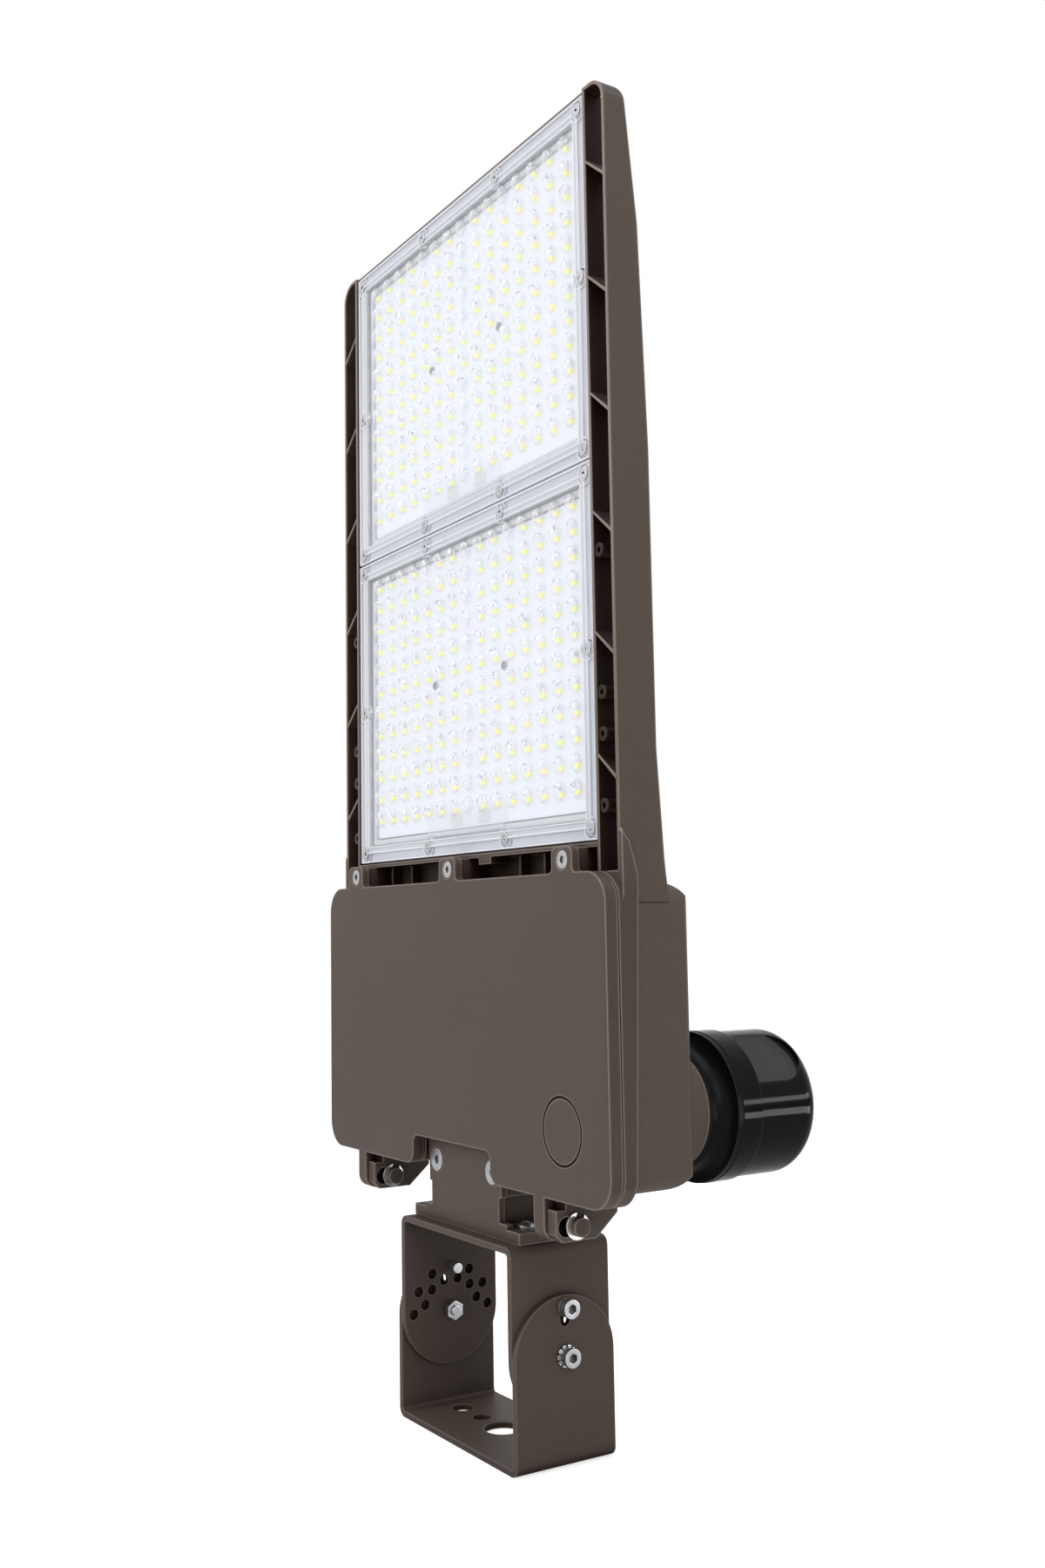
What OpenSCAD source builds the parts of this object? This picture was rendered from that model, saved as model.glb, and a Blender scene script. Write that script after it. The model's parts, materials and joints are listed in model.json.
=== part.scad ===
/* [Brackets] */
// Outer width of the lower bracket across its legs
bracket_w = 132; // [100:1:180]
// Depth of both brackets, front to back
bracket_d = 64; // [50:1:90]
// Sheet thickness of both brackets
sheet_t = 3.5; // [2.5:0.25:5]
// Outer bend radius of both brackets
bend_r = 5.5; // [5:0.25:8]
// Height of the tilt pivot above the mounting face
pivot_h = 58.5; // [50:0.5:80]
// Height of the upper bracket's top face above the pivot
saddle_rise = 59.5; // [50:0.5:80]
// Gap between an upper leg and the lower leg beside it
leg_gap = 0.25; // [0.1:0.05:0.6]
// Radius of the outer row of aiming holes
row_out_r = 25.7; // [24:0.1:27]
// Radius of the inner row of aiming holes
row_in_r = 18.5; // [16:0.1:19]
// Step between two aiming angles
aim_step = 15; // [15:15:30]
// Diameter of the centre cable hole in the base
cable_hole_d = 22; // [16:0.5:28]
// Diameter of the two outer anchor holes in the base
anchor_d = 13; // [8:0.5:16]
// Spacing of the two outer anchor holes
anchor_s = 92; // [80:1:100]
// Diameter of the two inner anchor holes in the base
anchor_in_d = 11; // [6:0.5:12]
// Spacing of the two inner anchor holes
anchor_in_s = 48; // [44:1:56]

/* [Tilt hardware] */
// Shank diameter of the tilt and lock bolts
bolt_d = 6; // [5:0.5:8]
// Head diameter of the tilt and lock bolts
bolt_head_d = 10; // [8.5:0.5:13]
// Head height of the tilt and lock bolts
bolt_head_h = 6; // [5:0.5:8]
// Width across the flats of a bolt's key socket
bolt_key = 5; // [4:0.5:6]
// Thickness of the washers below the bolt heads
washer_t = 1.6; // [1:0.1:2.5]
// Diameter of the washers below the bolt heads
washer_d = 12; // [11:0.25:14]
// Width across the flats of the tilt nuts
nut_af = 10; // [8:0.5:13]
// Height of the tilt nuts
nut_h = 5; // [4:0.25:6.5]
// How far a lock stud stands out inside the upper leg
stud_out = 9; // [5:0.5:12]

/* [Mounting arm] */
// Inset of the arm's flange from the bracket's sides
flange_in = 7; // [4:0.5:14]
// Thickness of the arm's flange
flange_t = 6.5; // [4:0.5:9]
// Distance of the arm's front face ahead of the bracket's centre
arm_front = 24; // [20:0.5:28]
// Depth of the arm's flange, front to back
flange_d = 50; // [42:1:54]
// Inset of the arm's upright plate from the screws that hold the arm
saddle_out = 5; // [5:0.5:8]
// Thickness of the arm's upright plate
arm_plate_t = 4; // [3:0.5:5]
// Distance of the arm screws from the plate's sides
arm_screw_in = 9; // [8:0.5:13]
// Head diameter of the arm screws
arm_head_d = 13; // [10:0.5:14]
// Diameter of the screws that hold the arm to the upper bracket
saddle_d = 6; // [4:0.5:6]
// Distance of these screws from the bracket's sides
saddle_in = 20.5; // [17:0.5:21]
// Spacing of these screws front to back
saddle_deep = 22; // [16:1:30]
// Height of the driver box above the arm's flange
arm_rise = 25.5; // [25:0.5:40]

/* [Head] */
// Inset of the head's rails from the driver box's sides
rail_set = 2; // [0:0.5:6]
// Height of the gutter between the driver box and the light well
gutter_h = 12.8; // [11:0.1:20]
// Radius of the head's top corners
head_r = 13; // [8:0.5:14]
// Depth from the front rim to the deepest point of the rails
rail_d = 24.6; // [22:0.2:30]
// Distance of the front rim ahead of the bracket's centre
rim_front = 21.9; // [20:0.1:25]
// Wall thickness of the outer rails
rail_t = 1.8; // [1.5:0.1:4]
// Wall thickness of the struts beside the lenses
strut_t = 1.9; // [1.5:0.1:4]
// Thickness of the plate behind the light boards
tray_t = 4.5; // [3:0.5:6]
// Depth of the light well below the rim
well_d = 7.5; // [7:0.25:9]
// Thickness of the slanted ribs in the side channels
slant_t = 1.4; // [1.2:0.1:3]
// Number of slanted ribs in each side channel
slant_n = 6; // [3:1:8]
// Pitch of the slanted ribs
slant_pitch = 63.7; // [50:0.1:64]
// Thickness of the cooling fins on the back
fin_t = 2.6; // [2:0.1:4]
// Number of cooling fins on the back
fin_n = 16; // [8:1:20]

/* [Lenses and light boards] */
// Distance from a lens's side edge to the outside of the rail beside it
side_w = 20; // [19.5:0.5:24]
// Height of a lens
lens_h = 200.6; // [180:0.2:220]
// Gap between the two lenses and round them
lens_gap = 0.8; // [0.4:0.1:1.2]
// Thickness of a lens's field
lens_t = 2; // [1.5:0.1:2.6]
// Height of the ridges round a lens
ridge_h = 1.8; // [1:0.1:2]
// Inset of the lens screws from a lens's edge
lens_screw_in = 6.5; // [6:0.1:7]
// Columns of light-emitting chips on a board
led_cols = 15; // [5:2:15]
// Rows of light-emitting chips on a board
led_rows = 12; // [4:1:12]
// Distance of the outer columns from a lens's side edges
led_side_in = 22.6; // [20:0.1:40]
// Distance of the top row from a lens's upper edge
led_top_in = 19.4; // [19:0.1:30]
// Distance of the bottom row from a lens's lower edge
led_low_in = 26.76; // [26.7:0.02:40]
// Width and height of a chip
led_w = 3.5; // [2:0.1:5]
// Thickness of a light board
board_t = 1.6; // [1:0.1:2]

/* [Driver box] */
// Overall width of the driver box and its cover
box_w = 316; // [290:1:340]
// Height of the driver box
box_h = 167; // [160:1:170]
// Corner radius of the driver box and its cover
box_r = 16; // [12:0.5:20]
// Distance of the box's back face behind the bracket's centre
box_back = 22.2; // [20:0.2:30]
// Wall thickness of the box
box_wall = 3.5; // [2.5:0.25:5]
// Distance of the cover's face ahead of the bracket's centre
cover_front = 33.2; // [31:0.1:35]
// Depth of the cover's skirt
cover_d = 7.6; // [6:0.2:8]
// Wall thickness of the cover
cover_t = 3; // [2:0.25:4]
// Thickness of the seal between box and cover
seal_t = 0.8; // [0.5:0.1:1.2]
// Gap between the cover's notch and the arm's plate at each side
notch_gap = 4; // [2.5:0.5:8]
// Height of the notch in the bottom edge
notch_h = 17.4; // [15:0.2:20]
// Width of a screw tab on the cover's top edge
tab_w = 18.6; // [16:0.2:22]
// Height of a screw tab
tab_h = 13.5; // [12:0.25:14]
// Distance of the outer cover screws from the box's sides
cover_screw_in = 38; // [36:1:48]
// Head diameter of the cover screws
cover_head_d = 9.5; // [8:0.25:10.5]
// Diameter of the knockout ring in the cover
knockout_d = 34.6; // [22:0.2:40]

/* [Cover hinges] */
// Distance of the left hinge from the box's left side
hinge_left_in = 45.6; // [42:0.1:50]
// Distance of the right hinge from the box's right side
hinge_right_in = 64.8; // [60:0.1:70]
// Width of a cover knuckle
knuckle_w = 9.7; // [7:0.1:12]
// Thickness of a housing ear
ear_t = 7.6; // [6:0.1:9]
// Diameter of the hinge pins
pin_d = 10; // [8:0.25:10.5]
// Length of a hinge pin
pin_l = 23.5; // [21.5:0.5:26]
// Outer diameter of a retaining ring
ring_d = 14; // [13:0.25:16]

/* [Photocell] */
// Distance of the photocell's axis from the box's right side
cell_in = 42; // [40:0.5:53]
// Height of the photocell's axis above the box's bottom edge
cell_rise = 41.6; // [39:0.2:46]
// Diameter of the photocell
cell_d = 80.8; // [74:0.2:84]
// Length of the band at the photocell's foot
cell_band = 13; // [8:0.5:18]
// Length of the photocell's cap
cell_cap = 43.5; // [34:0.5:50]
// Diameter of the housing boss that carries the receptacle
boss_d = 60; // [54:0.5:62]
// Length of the housing boss
boss_l = 17; // [12:0.5:24]
// Length of the receptacle's flared body
flare_l = 13.5; // [11:0.25:18]

/* [Hidden] */

// Fineness of the round surfaces
$fn = 48;
// Overrun of every cut past the face it opens
over = 1;
// Clearance of a screw in the hole it passes through
screw_fit = 0.4;
// Running clearance of a pin or bolt in the hole it turns in
run_fit = 0.06;
// Gap between pieces that sit beside each other
seat_gap = 0.3;

bronze = [0.34, 0.31, 0.285];
dark_bronze = [0.27, 0.24, 0.22];
steel = [0.78, 0.79, 0.8];
black = [0.06, 0.06, 0.065];
clear = [0.86, 0.9, 0.96, 0.45];
white = [0.93, 0.94, 0.95];

bracket_half = bracket_w / 2;
flange_w = bracket_w - 2 * flange_in;
saddle_wide = bracket_w - 2 * saddle_in;
arm_plate_w = saddle_wide - 2 * saddle_out;
arm_screw_s = arm_plate_w - 2 * arm_screw_in;
notch_w = arm_plate_w + 2 * notch_gap;
dome_r = bracket_d / 2;
saddle_top = pivot_h + saddle_rise;
inner_w = bracket_w - 2 * sheet_t - 2 * leg_gap;
inner_half = inner_w / 2;
lock_z = pivot_h + row_out_r;
hole_d = bolt_d + 2 * run_fit;
shear_gap = leg_gap / 2;
// Half the gap where a lock bolt is parted at the joint plane
split_half = 0.05;
socket_share = 0.55;
flange_top = saddle_top + flange_t;
box_z0 = flange_top + arm_rise;
box_z1 = box_z0 + box_h;
box_cz = box_z0 + box_h / 2;
head_w = box_w - 2 * rail_set;
lens_w = head_w - 2 * side_w;
led_pitch_x = (lens_w - 2 * led_side_in) / (led_cols - 1);
led_pitch_z = (lens_h - led_top_in - led_low_in) / (led_rows - 1);
hinge_left = hinge_left_in - box_w / 2;
hinge_right = box_w / 2 - hinge_right_in;
cover_screw_s = box_w / 2 - cover_screw_in;
cell_x = box_w / 2 - cell_in;
cell_z = box_z0 + cell_rise;

// Outline of a shape drawn as seen from the front, carried from y0 backwards by t
module along_y(y0, t) {
    translate([0, y0 + t, 0])
        rotate([90, 0, 0])
            linear_extrude(t)
                children();
}

// Outline of a shape drawn as seen from the right, carried from x0 by t
module along_x(x0, t) {
    translate([x0, 0, 0])
        rotate([90, 0, 90])
            linear_extrude(t)
                children();
}

// Bar of diameter d along X from x0 by l
module bar_x(x0, l, d) {
    translate([x0, 0, 0])
        rotate([0, 90, 0])
            cylinder(h = l, d = d);
}

// Bar of diameter d along Y from y0 by l
module bar_y(y0, l, d) {
    translate([0, y0, 0])
        rotate([-90, 0, 0])
            cylinder(h = l, d = d);
}

// Six-sided bar of width af across its flats
module hex_z(h, af) {
    cylinder(h = h, d = af / cos(30), $fn = 6);
}

module rounded(w, h, r) {
    square([w - 2 * r, h], center = true);
    square([w, h - 2 * r], center = true);
    for (sx = [-1, 1], sy = [-1, 1])
        translate([sx * (w / 2 - r), sy * (h / 2 - r)])
            circle(r);
}

// Box of width w and height h from the bottom edge up, with its two bottom corners rounded
module trough(w, h, r) {
    translate([-w / 2, r])
        square([w, h - r]);
    translate([r - w / 2, 0])
        square([w - 2 * r, r + over]);
    for (s = [-1, 1])
        translate([s * (w / 2 - r), r])
            circle(r);
}

// Channel bent from sheet, seen from the front
module channel(w, h) {
    difference() {
        trough(w, h, bend_r);
        translate([0, sheet_t])
            trough(w - 2 * sheet_t, h, bend_r - sheet_t);
    }
}

// Socket-head screw with its axis along Z, its head's seat at z = 0 and its shank below
module cap_screw(d, l, head_d, head_h, key) {
    difference() {
        union() {
            translate([0, 0, -l])
                cylinder(h = l + head_h / 2, d = d);
            cylinder(h = head_h, d = head_d);
        }
        translate([0, 0, head_h * (1 - socket_share)])
            hex_z(head_h, key);
    }
}

// Places a child at both legs, turned so that its Z points outwards
module at_legs(x, z) {
    for (s = [-1, 1])
        translate([s * x, 0, z])
            rotate([0, s * 90, 0])
                children();
}

module lower_bracket() {
    color(dark_bronze)
    difference() {
        intersection() {
            along_y(-bracket_d / 2, bracket_d)
                channel(bracket_w, pivot_h + dome_r);
            along_x(-bracket_w, 2 * bracket_w)
                union() {
                    translate([-dome_r, 0])
                        square([bracket_d, pivot_h]);
                    translate([0, pivot_h])
                        circle(dome_r, $fn = 96);
                }
        }
        translate([0, 0, pivot_h])
            bar_x(-bracket_w, 2 * bracket_w, hole_d);
        translate([0, 0, pivot_h + row_in_r])
            bar_x(-bracket_w, 2 * bracket_w, hole_d);
        translate([0, 0, lock_z])
            bar_x(-bracket_w, 2 * bracket_w, hole_d);
        translate([-bracket_w, -hole_d / 2, pivot_h + row_in_r])
            cube([2 * bracket_w, hole_d, row_out_r - row_in_r]);
        translate([0, 0, -over])
            cylinder(h = sheet_t + 2 * over, d = cable_hole_d);
        for (s = [-1, 1]) {
            translate([s * anchor_s / 2, 0, -over])
                cylinder(h = sheet_t + 2 * over, d = anchor_d);
            translate([s * anchor_in_s / 2, 0, -over])
                cylinder(h = sheet_t + 2 * over, d = anchor_in_d);
        }
    }
}

module upper_bracket() {
    color(dark_bronze)
    difference() {
        intersection() {
            translate([0, 0, saddle_top])
                mirror([0, 0, 1])
                    along_y(-bracket_d / 2, bracket_d)
                        channel(inner_w, saddle_rise + dome_r);
            along_x(-bracket_w, 2 * bracket_w)
                union() {
                    translate([-dome_r, pivot_h])
                        square([bracket_d, saddle_rise + over]);
                    translate([0, pivot_h])
                        circle(dome_r, $fn = 96);
                }
        }
        translate([0, 0, pivot_h])
            bar_x(-bracket_w, 2 * bracket_w, hole_d);
        for (a = [-90 : 2 * aim_step : 90])
            translate([0, row_out_r * sin(a), pivot_h + row_out_r * cos(a)])
                bar_x(-bracket_w, 2 * bracket_w, hole_d);
        for (a = [aim_step - 90 : 2 * aim_step : 90 - aim_step])
            translate([0, row_in_r * sin(a), pivot_h + row_in_r * cos(a)])
                bar_x(-bracket_w, 2 * bracket_w, hole_d);
        translate([0, 0, saddle_top - sheet_t - over])
            cylinder(h = sheet_t + 2 * over, d = cable_hole_d);
        at_saddle(saddle_top - sheet_t - over)
            cylinder(h = sheet_t + 2 * over, d = saddle_d + 2 * run_fit);
    }
}

// Places a child at the four screws between arm and upper bracket
module at_saddle(z) {
    for (sx = [-1, 1], sy = [-1, 1])
        translate([sx * saddle_wide / 2, sy * saddle_deep / 2, z])
            children();
}

// Length of a tilt bolt's shank from its washer's seat to its tip
bolt_tip = 2;
tilt_shank = washer_t + sheet_t + leg_gap + sheet_t + nut_h + bolt_tip;

module tilt_bolts() {
    color(steel)
    at_legs(bracket_half + washer_t, pivot_h)
        cap_screw(bolt_d, tilt_shank, bolt_head_d, bolt_head_h, bolt_key);
}

module lock_screws() {
    color(steel)
    at_legs(bracket_half + washer_t, lock_z)
        cap_screw(bolt_d, washer_t + sheet_t + shear_gap - split_half, bolt_head_d, bolt_head_h, bolt_key);
}

module lock_studs() {
    color(steel)
    at_legs(inner_half + shear_gap, lock_z)
        translate([0, 0, -shear_gap - sheet_t - stud_out])
            cylinder(h = shear_gap + sheet_t + stud_out - split_half, d = bolt_d);
}

washer_teeth = 10;
tooth_share = 0.12;
tooth_w = washer_d * tooth_share;

module tilt_washers() {
    color(steel)
    at_legs(bracket_half, pivot_h)
        difference() {
            cylinder(h = washer_t, d = washer_d);
            translate([0, 0, -over])
                cylinder(h = washer_t + 2 * over, d = hole_d);
            for (i = [0 : washer_teeth - 1])
                rotate([0, 0, 360 * i / washer_teeth])
                    translate([bolt_head_d / 2, -tooth_w / 2, -over])
                        cube([washer_d, tooth_w, washer_t + 2 * over]);
        }
}

module lock_washers() {
    color(steel)
    at_legs(bracket_half, lock_z)
        difference() {
            cylinder(h = washer_t, d = bolt_head_d);
            translate([0, 0, -over])
                cylinder(h = washer_t + 2 * over, d = hole_d);
        }
}

module tilt_nuts() {
    color(steel)
    for (s = [-1, 1])
        translate([s * (inner_half - sheet_t - leg_gap), 0, pivot_h])
            rotate([0, -s * 90, 0])
                difference() {
                    hex_z(nut_h, nut_af);
                    translate([0, 0, -over])
                        cylinder(h = nut_h + 2 * over, d = bolt_d);
                }
}

arm_plate_top = box_z0 + notch_h - seat_gap * 3;
arm_shank_d = 6;
arm_screw_z = arm_plate_top - arm_head_d;
arm_jog = 2.5;
arm_waist_w = arm_plate_w - 2 * arm_jog;
arm_waist_h = 16;
arm_shoulder_w = 8;
arm_shoulder_h = 2.6;
arm_back = flange_d - arm_front;
pan_head_d = 10;
pan_head_h = 3.2;
pan_slot = 1.1;
pan_dome_share = 1.4;

module mounting_arm() {
    color(bronze)
    difference() {
        union() {
            translate([-flange_w / 2, -arm_front, saddle_top])
                cube([flange_w, flange_d, flange_t]);
            translate([-arm_plate_w / 2, -arm_front, flange_top + arm_waist_h])
                cube([arm_plate_w, arm_plate_t, arm_plate_top - flange_top - arm_waist_h]);
            translate([-arm_waist_w / 2, -arm_front, saddle_top])
                cube([arm_waist_w, arm_plate_t, flange_t + arm_waist_h + over]);
            translate([-arm_waist_w / 2 - arm_shoulder_w, -arm_front, saddle_top])
                cube([arm_waist_w + 2 * arm_shoulder_w, arm_plate_t, flange_t + arm_shoulder_h]);
        }
        for (s = [-1, 1]) {
            translate([s * arm_screw_s / 2, 0, arm_screw_z])
                bar_y(-arm_front - over, arm_plate_t + 2 * over, arm_shank_d + 2 * screw_fit);
            translate([s * arm_screw_s / 2, 0, arm_screw_z])
                bar_y(-arm_front - over, over + arm_recess, arm_head_d + 2 * screw_fit);
        }
        at_saddle(saddle_top - over)
            cylinder(h = flange_t + 2 * over, d = saddle_d + 2 * run_fit);
        translate([0, 0, saddle_top - over])
            cylinder(h = flange_t + 2 * over, d = cable_hole_d);
    }
}

arm_recess = 2.6;
arm_head_h = 3;
arm_shank_l = 16;

module arm_screws() {
    color(steel)
    for (s = [-1, 1])
        translate([s * arm_screw_s / 2, arm_recess - arm_front, arm_screw_z])
            rotate([90, 0, 0])
                cap_screw(arm_shank_d, arm_shank_l, arm_head_d, arm_head_h, bolt_key);
}

// Pan-head screws from above, with nuts under the upper bracket
module saddle_screws() {
    color(steel)
    at_saddle(flange_top)
        difference() {
            union() {
                translate([0, 0, -flange_t - sheet_t - nut_h - over])
                    cylinder(h = flange_t + sheet_t + nut_h + 2 * over, d = saddle_d);
                intersection() {
                    cylinder(h = pan_head_h, d = pan_head_d);
                    translate([0, 0, pan_head_h - pan_head_d * pan_dome_share / 2])
                        sphere(d = pan_head_d * pan_dome_share);
                }
            }
            for (a = [0, 90])
                rotate([0, 0, a])
                    translate([-pan_head_d / 4, -pan_slot / 2, pan_head_h / 2])
                        cube([pan_head_d / 2, pan_slot, pan_head_h]);
        }
}

module saddle_nuts() {
    color(steel)
    at_saddle(saddle_top - sheet_t - nut_h)
        difference() {
            hex_z(nut_h, nut_af);
            translate([0, 0, -over])
                cylinder(h = nut_h + 2 * over, d = saddle_d);
        }
}

seam_y = cover_d - cover_front;
box_front = -seam_y - seal_t;
well_gap = lens_gap / 2;
lens_pitch = lens_h + lens_gap;
well_w = lens_w + 2 * lens_gap;
sill_t = 2.5;
top_bar_in = 2;
gutter_z1 = box_z1 + gutter_h;
well_z0 = gutter_z1 + sill_t;
well_z1 = well_z0 + 2 * lens_pitch + lens_gap;
head_top = well_z1 + rail_t - well_gap;
lens_hi_z = well_z1 - lens_gap - lens_h / 2;
lens_lo_z = lens_hi_z - lens_pitch;
gutter_d = 13;
head_z0 = box_z1 - box_r;
head_cz = (head_top + head_z0) / 2;
tray_y = well_d - rim_front;
tray_back = tray_y + tray_t;
strut_w = well_w + 2 * strut_t;
rail_in = head_w / 2 - rail_t;
channel_w = rail_in - strut_w / 2;
channel_z0 = box_z1;
slant_top_in = 56.1;
slant_z0 = head_top - slant_top_in;
slant_drop_share = 0.92;
slant_drop = channel_w * slant_drop_share;
rail_back = rail_d - rim_front;
rail_z_shares = [0, 0.02, 0.18, 0.46, 0.82, 0.95, 1];
rail_y_shares = [0.42, 0.55, 0.83, 0.985, 1, 1.14, 1.23];
rail_span = head_top - head_z0;

// Side view of the head: front rim, and a back that gets deeper towards the box
function rail_profile() = concat(
    [[-rim_front, head_z0], [-rim_front, head_top]],
    [for (i = [0 : len(rail_z_shares) - 1])
        [rail_d * rail_y_shares[i] - rim_front, head_top - rail_span * rail_z_shares[i]]]);

module head_outline() {
    translate([0, head_cz - over])
        union() {
            rounded(head_w, rail_span + 2 * over, head_r);
            translate([-head_w / 2, -rail_span / 2 - over])
                square([head_w, rail_span / 2]);
        }
}

module head_mass() {
    intersection() {
        along_y(-rim_front, rail_d * 2)
            intersection() {
                head_outline();
                translate([-head_w / 2, head_z0])
                    square([head_w, rail_span]);
            }
        along_x(-head_w, 2 * head_w)
            polygon(rail_profile());
    }
}

// One cell wall of a side channel, slanting down towards the rail
module slant(i) {
    z = slant_z0 - i * slant_pitch;
    polygon([[strut_w / 2 - over, z + slant_drop], [strut_w / 2 - over, z + slant_drop + slant_t],
        [rail_in + over, z + slant_t], [rail_in + over, z - slant_t / 2]]);
}

channel_boss_d = 7.5;
channel_boss_z_shares = [0.5817, 0.7525, 0.802, 0.8865];
channel_bore_share = 0.45;

module side_channels() {
    for (s = [0, 1])
        mirror([s, 0, 0])
            difference() {
                along_y(-rim_front - over, rail_d * 2)
                    difference() {
                        intersection() {
                            translate([0, head_cz])
                                rounded(2 * rail_in, rail_span - 2 * rail_t, head_r - rail_t);
                            translate([strut_w / 2, channel_z0])
                                square([channel_w, head_top - channel_z0]);
                        }
                        for (i = [0 : slant_n - 1])
                            slant(i);
                    }
                for (k = channel_boss_z_shares)
                    translate([strut_w / 2 + channel_boss_d / 2 - over / 2, 0, head_top - rail_span * k])
                        difference() {
                            bar_y(strut_t / 2 - rim_front, rail_d * 2, channel_boss_d);
                            bar_y(-rim_front, rail_d, channel_boss_d * channel_bore_share);
                        }
            }
}

module fins_and_back() {
    fin_pitch = (well_w - fin_t) / (fin_n - 1);
    difference() {
        along_y(tray_back, rail_d * 2)
            difference() {
                translate([-well_w / 2, gutter_z1])
                    square([well_w, head_top - gutter_z1 - rail_t]);
                for (i = [0 : fin_n - 1])
                    translate([i * fin_pitch - well_w / 2, gutter_z1 - over])
                        square([fin_t, head_top - gutter_z1]);
            }
        for (z = [lens_hi_z, lens_lo_z])
            at_lens_screws(z)
                bar_y(tray_y, back_boss_l, back_boss_d);
    }
}

screw_col_x = lens_w / 2 - lens_screw_in;
back_boss_d = 9;
back_boss_out = 5;
back_boss_l = tray_t + back_boss_out;
lens_shank_d = 4;
lens_head_d = 7;
lens_head_h = 2.2;
inner_screw_share = 0.33;

// Places a child at each screw of one lens, seen from the front
module at_lens_screws(cz) {
    dx = screw_col_x;
    dz = lens_h / 2 - lens_screw_in;
    for (sx = [-1, 1]) {
        for (sz = [-1, 0, 1])
            translate([sx * dx, 0, cz + sz * dz])
                children();
        for (sz = [-1, 1])
            translate([sx * lens_w / 2 * inner_screw_share, 0, cz + sz * dz])
                children();
    }
}

notch_r = 5;
notch_foot_r = 8;

// Notch at the bottom of box and cover, with a fillet in each corner
module notch(inset) {
    half = notch_w / 2 + inset;
    top = notch_h + inset;
    translate([0, box_z0]) {
        translate([-half, -over])
            square([2 * half, top - notch_r + over]);
        translate([notch_r - half, -over])
            square([2 * half - 2 * notch_r, top + over]);
        for (s = [-1, 1]) {
            translate([s * (half - notch_r), top - notch_r])
                circle(notch_r);
            difference() {
                translate([s * (half + notch_foot_r / 2) - notch_foot_r / 2 - over / 2, -over])
                    square([notch_foot_r + over, notch_foot_r + over]);
                translate([s * (half + notch_foot_r), notch_foot_r])
                    circle(notch_foot_r);
                translate([s * (half + notch_foot_r + over / 2) - over / 2, -2 * over])
                    square([over, notch_foot_r + 3 * over]);
            }
        }
    }
}

// Outline shared by box and cover: rounded corners and the notch
module box_outline(inset = 0, side = 0, drop = 0) {
    difference() {
        translate([0, box_cz])
            rounded(box_w - 2 * inset - 2 * side, box_h - 2 * inset - 2 * drop, box_r - inset);
        notch(inset);
    }
}

flank_y = 12.8;
flank_foot_y = 7.6;
flank_drop = 5;
back_r = 14;
back_cut = 3.7;
box_depth = box_back + box_front;

// Plan of the box behind its flanks, with cut back corners
module back_plan() {
    half = head_w / 2;
    polygon([[-half, -box_front], [-half, box_back - back_cut], [back_cut - half, box_back],
        [half - back_cut, box_back], [half, box_back - back_cut], [half, -box_front]]);
}

// Side view of the box with rounded back edges
module box_side() {
    z0 = box_z0 + flank_drop;
    z1 = box_z1 - flank_drop;
    translate([-box_front, z0])
        square([box_depth - back_r, z1 - z0]);
    translate([-box_front, z0 + back_r])
        square([box_depth, z1 - z0 - 2 * back_r]);
    for (z = [z0 + back_r, z1 - back_r])
        translate([box_back - back_r, z])
            circle(back_r);
}

// Side view of the flanks, whose back edge leans forwards to the bottom
module flank_side() {
    polygon([[-box_front - over, box_z0 - over], [-box_front - over, box_z1 + over],
        [flank_y - box_front, box_z1 + over], [flank_foot_y - box_front, box_z0 - over]]);
}

// Box: full-size flanks in front, and a smaller back flush with the rails
module box_mass() {
    intersection() {
        along_y(-box_front, flank_y)
            box_outline();
        along_x(-box_w, 2 * box_w)
            flank_side();
    }
    intersection() {
        along_y(-box_front, box_depth)
            box_outline(0, rail_set, flank_drop);
        translate([0, 0, box_z0])
            linear_extrude(box_h)
                back_plan();
        along_x(-box_w, 2 * box_w)
            box_side();
    }
}

gusset_h = 21.4;
gusset_y_shares = [0, 0.17, 0.45, 0.72, 0.95, 0.98, 0.93];
gusset_z_shares = [1, 0.85, 0.7, 0.3, -0.1, -0.45, -0.7];

// Side view of the gusset where a rail runs into the box's flank
module gusset() {
    run = flank_y - box_front + rim_front;
    polygon(concat([[-rim_front, head_z0]],
        [for (i = [0 : len(gusset_z_shares) - 1])
            [run * gusset_y_shares[i] - rim_front, box_z1 + gusset_h * gusset_z_shares[i]]],
        [[run * gusset_y_shares[len(gusset_y_shares) - 1] - rim_front, head_z0]]));
}

neck_in = 2;
neck_w = arm_plate_w - 2 * neck_in;
neck_front = arm_front - arm_plate_t;
neck_back = 16;
hinge_y = -18.5;
hinge_drop = 14.7;
hinge_z = box_z0 - hinge_drop;
ear_off = knuckle_w / 2 + seat_gap;
slot_reach = 6;
ear_root_y = 8;
ear_root = flank_drop + box_wall / 2;
ear_front = 12.5;
ear_drop = 7.7;
ear_rise = 8.7;

// Side view of a housing ear around its pin
module ear_side() {
    difference() {
        polygon([[hinge_y - ear_front, hinge_z - ear_drop / 2],
            [hinge_y - ear_front + ear_drop / 2, hinge_z - ear_drop],
            [hinge_y + ear_front, hinge_z - ear_drop], [ear_root_y, hinge_z + ear_rise / 2],
            [ear_root_y, box_z0 + ear_root], [-box_front, box_z0 + ear_root],
            [-box_front, hinge_z + ear_rise], [hinge_y - ear_front, hinge_z + ear_rise]]);
        for (k = [0, 1])
            translate([hinge_y - k * slot_reach, hinge_z])
                circle(d = pin_d + 2 * run_fit);
        translate([hinge_y - slot_reach, hinge_z - pin_d / 2 - run_fit])
            square([slot_reach, pin_d + 2 * run_fit]);
    }
}

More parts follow.
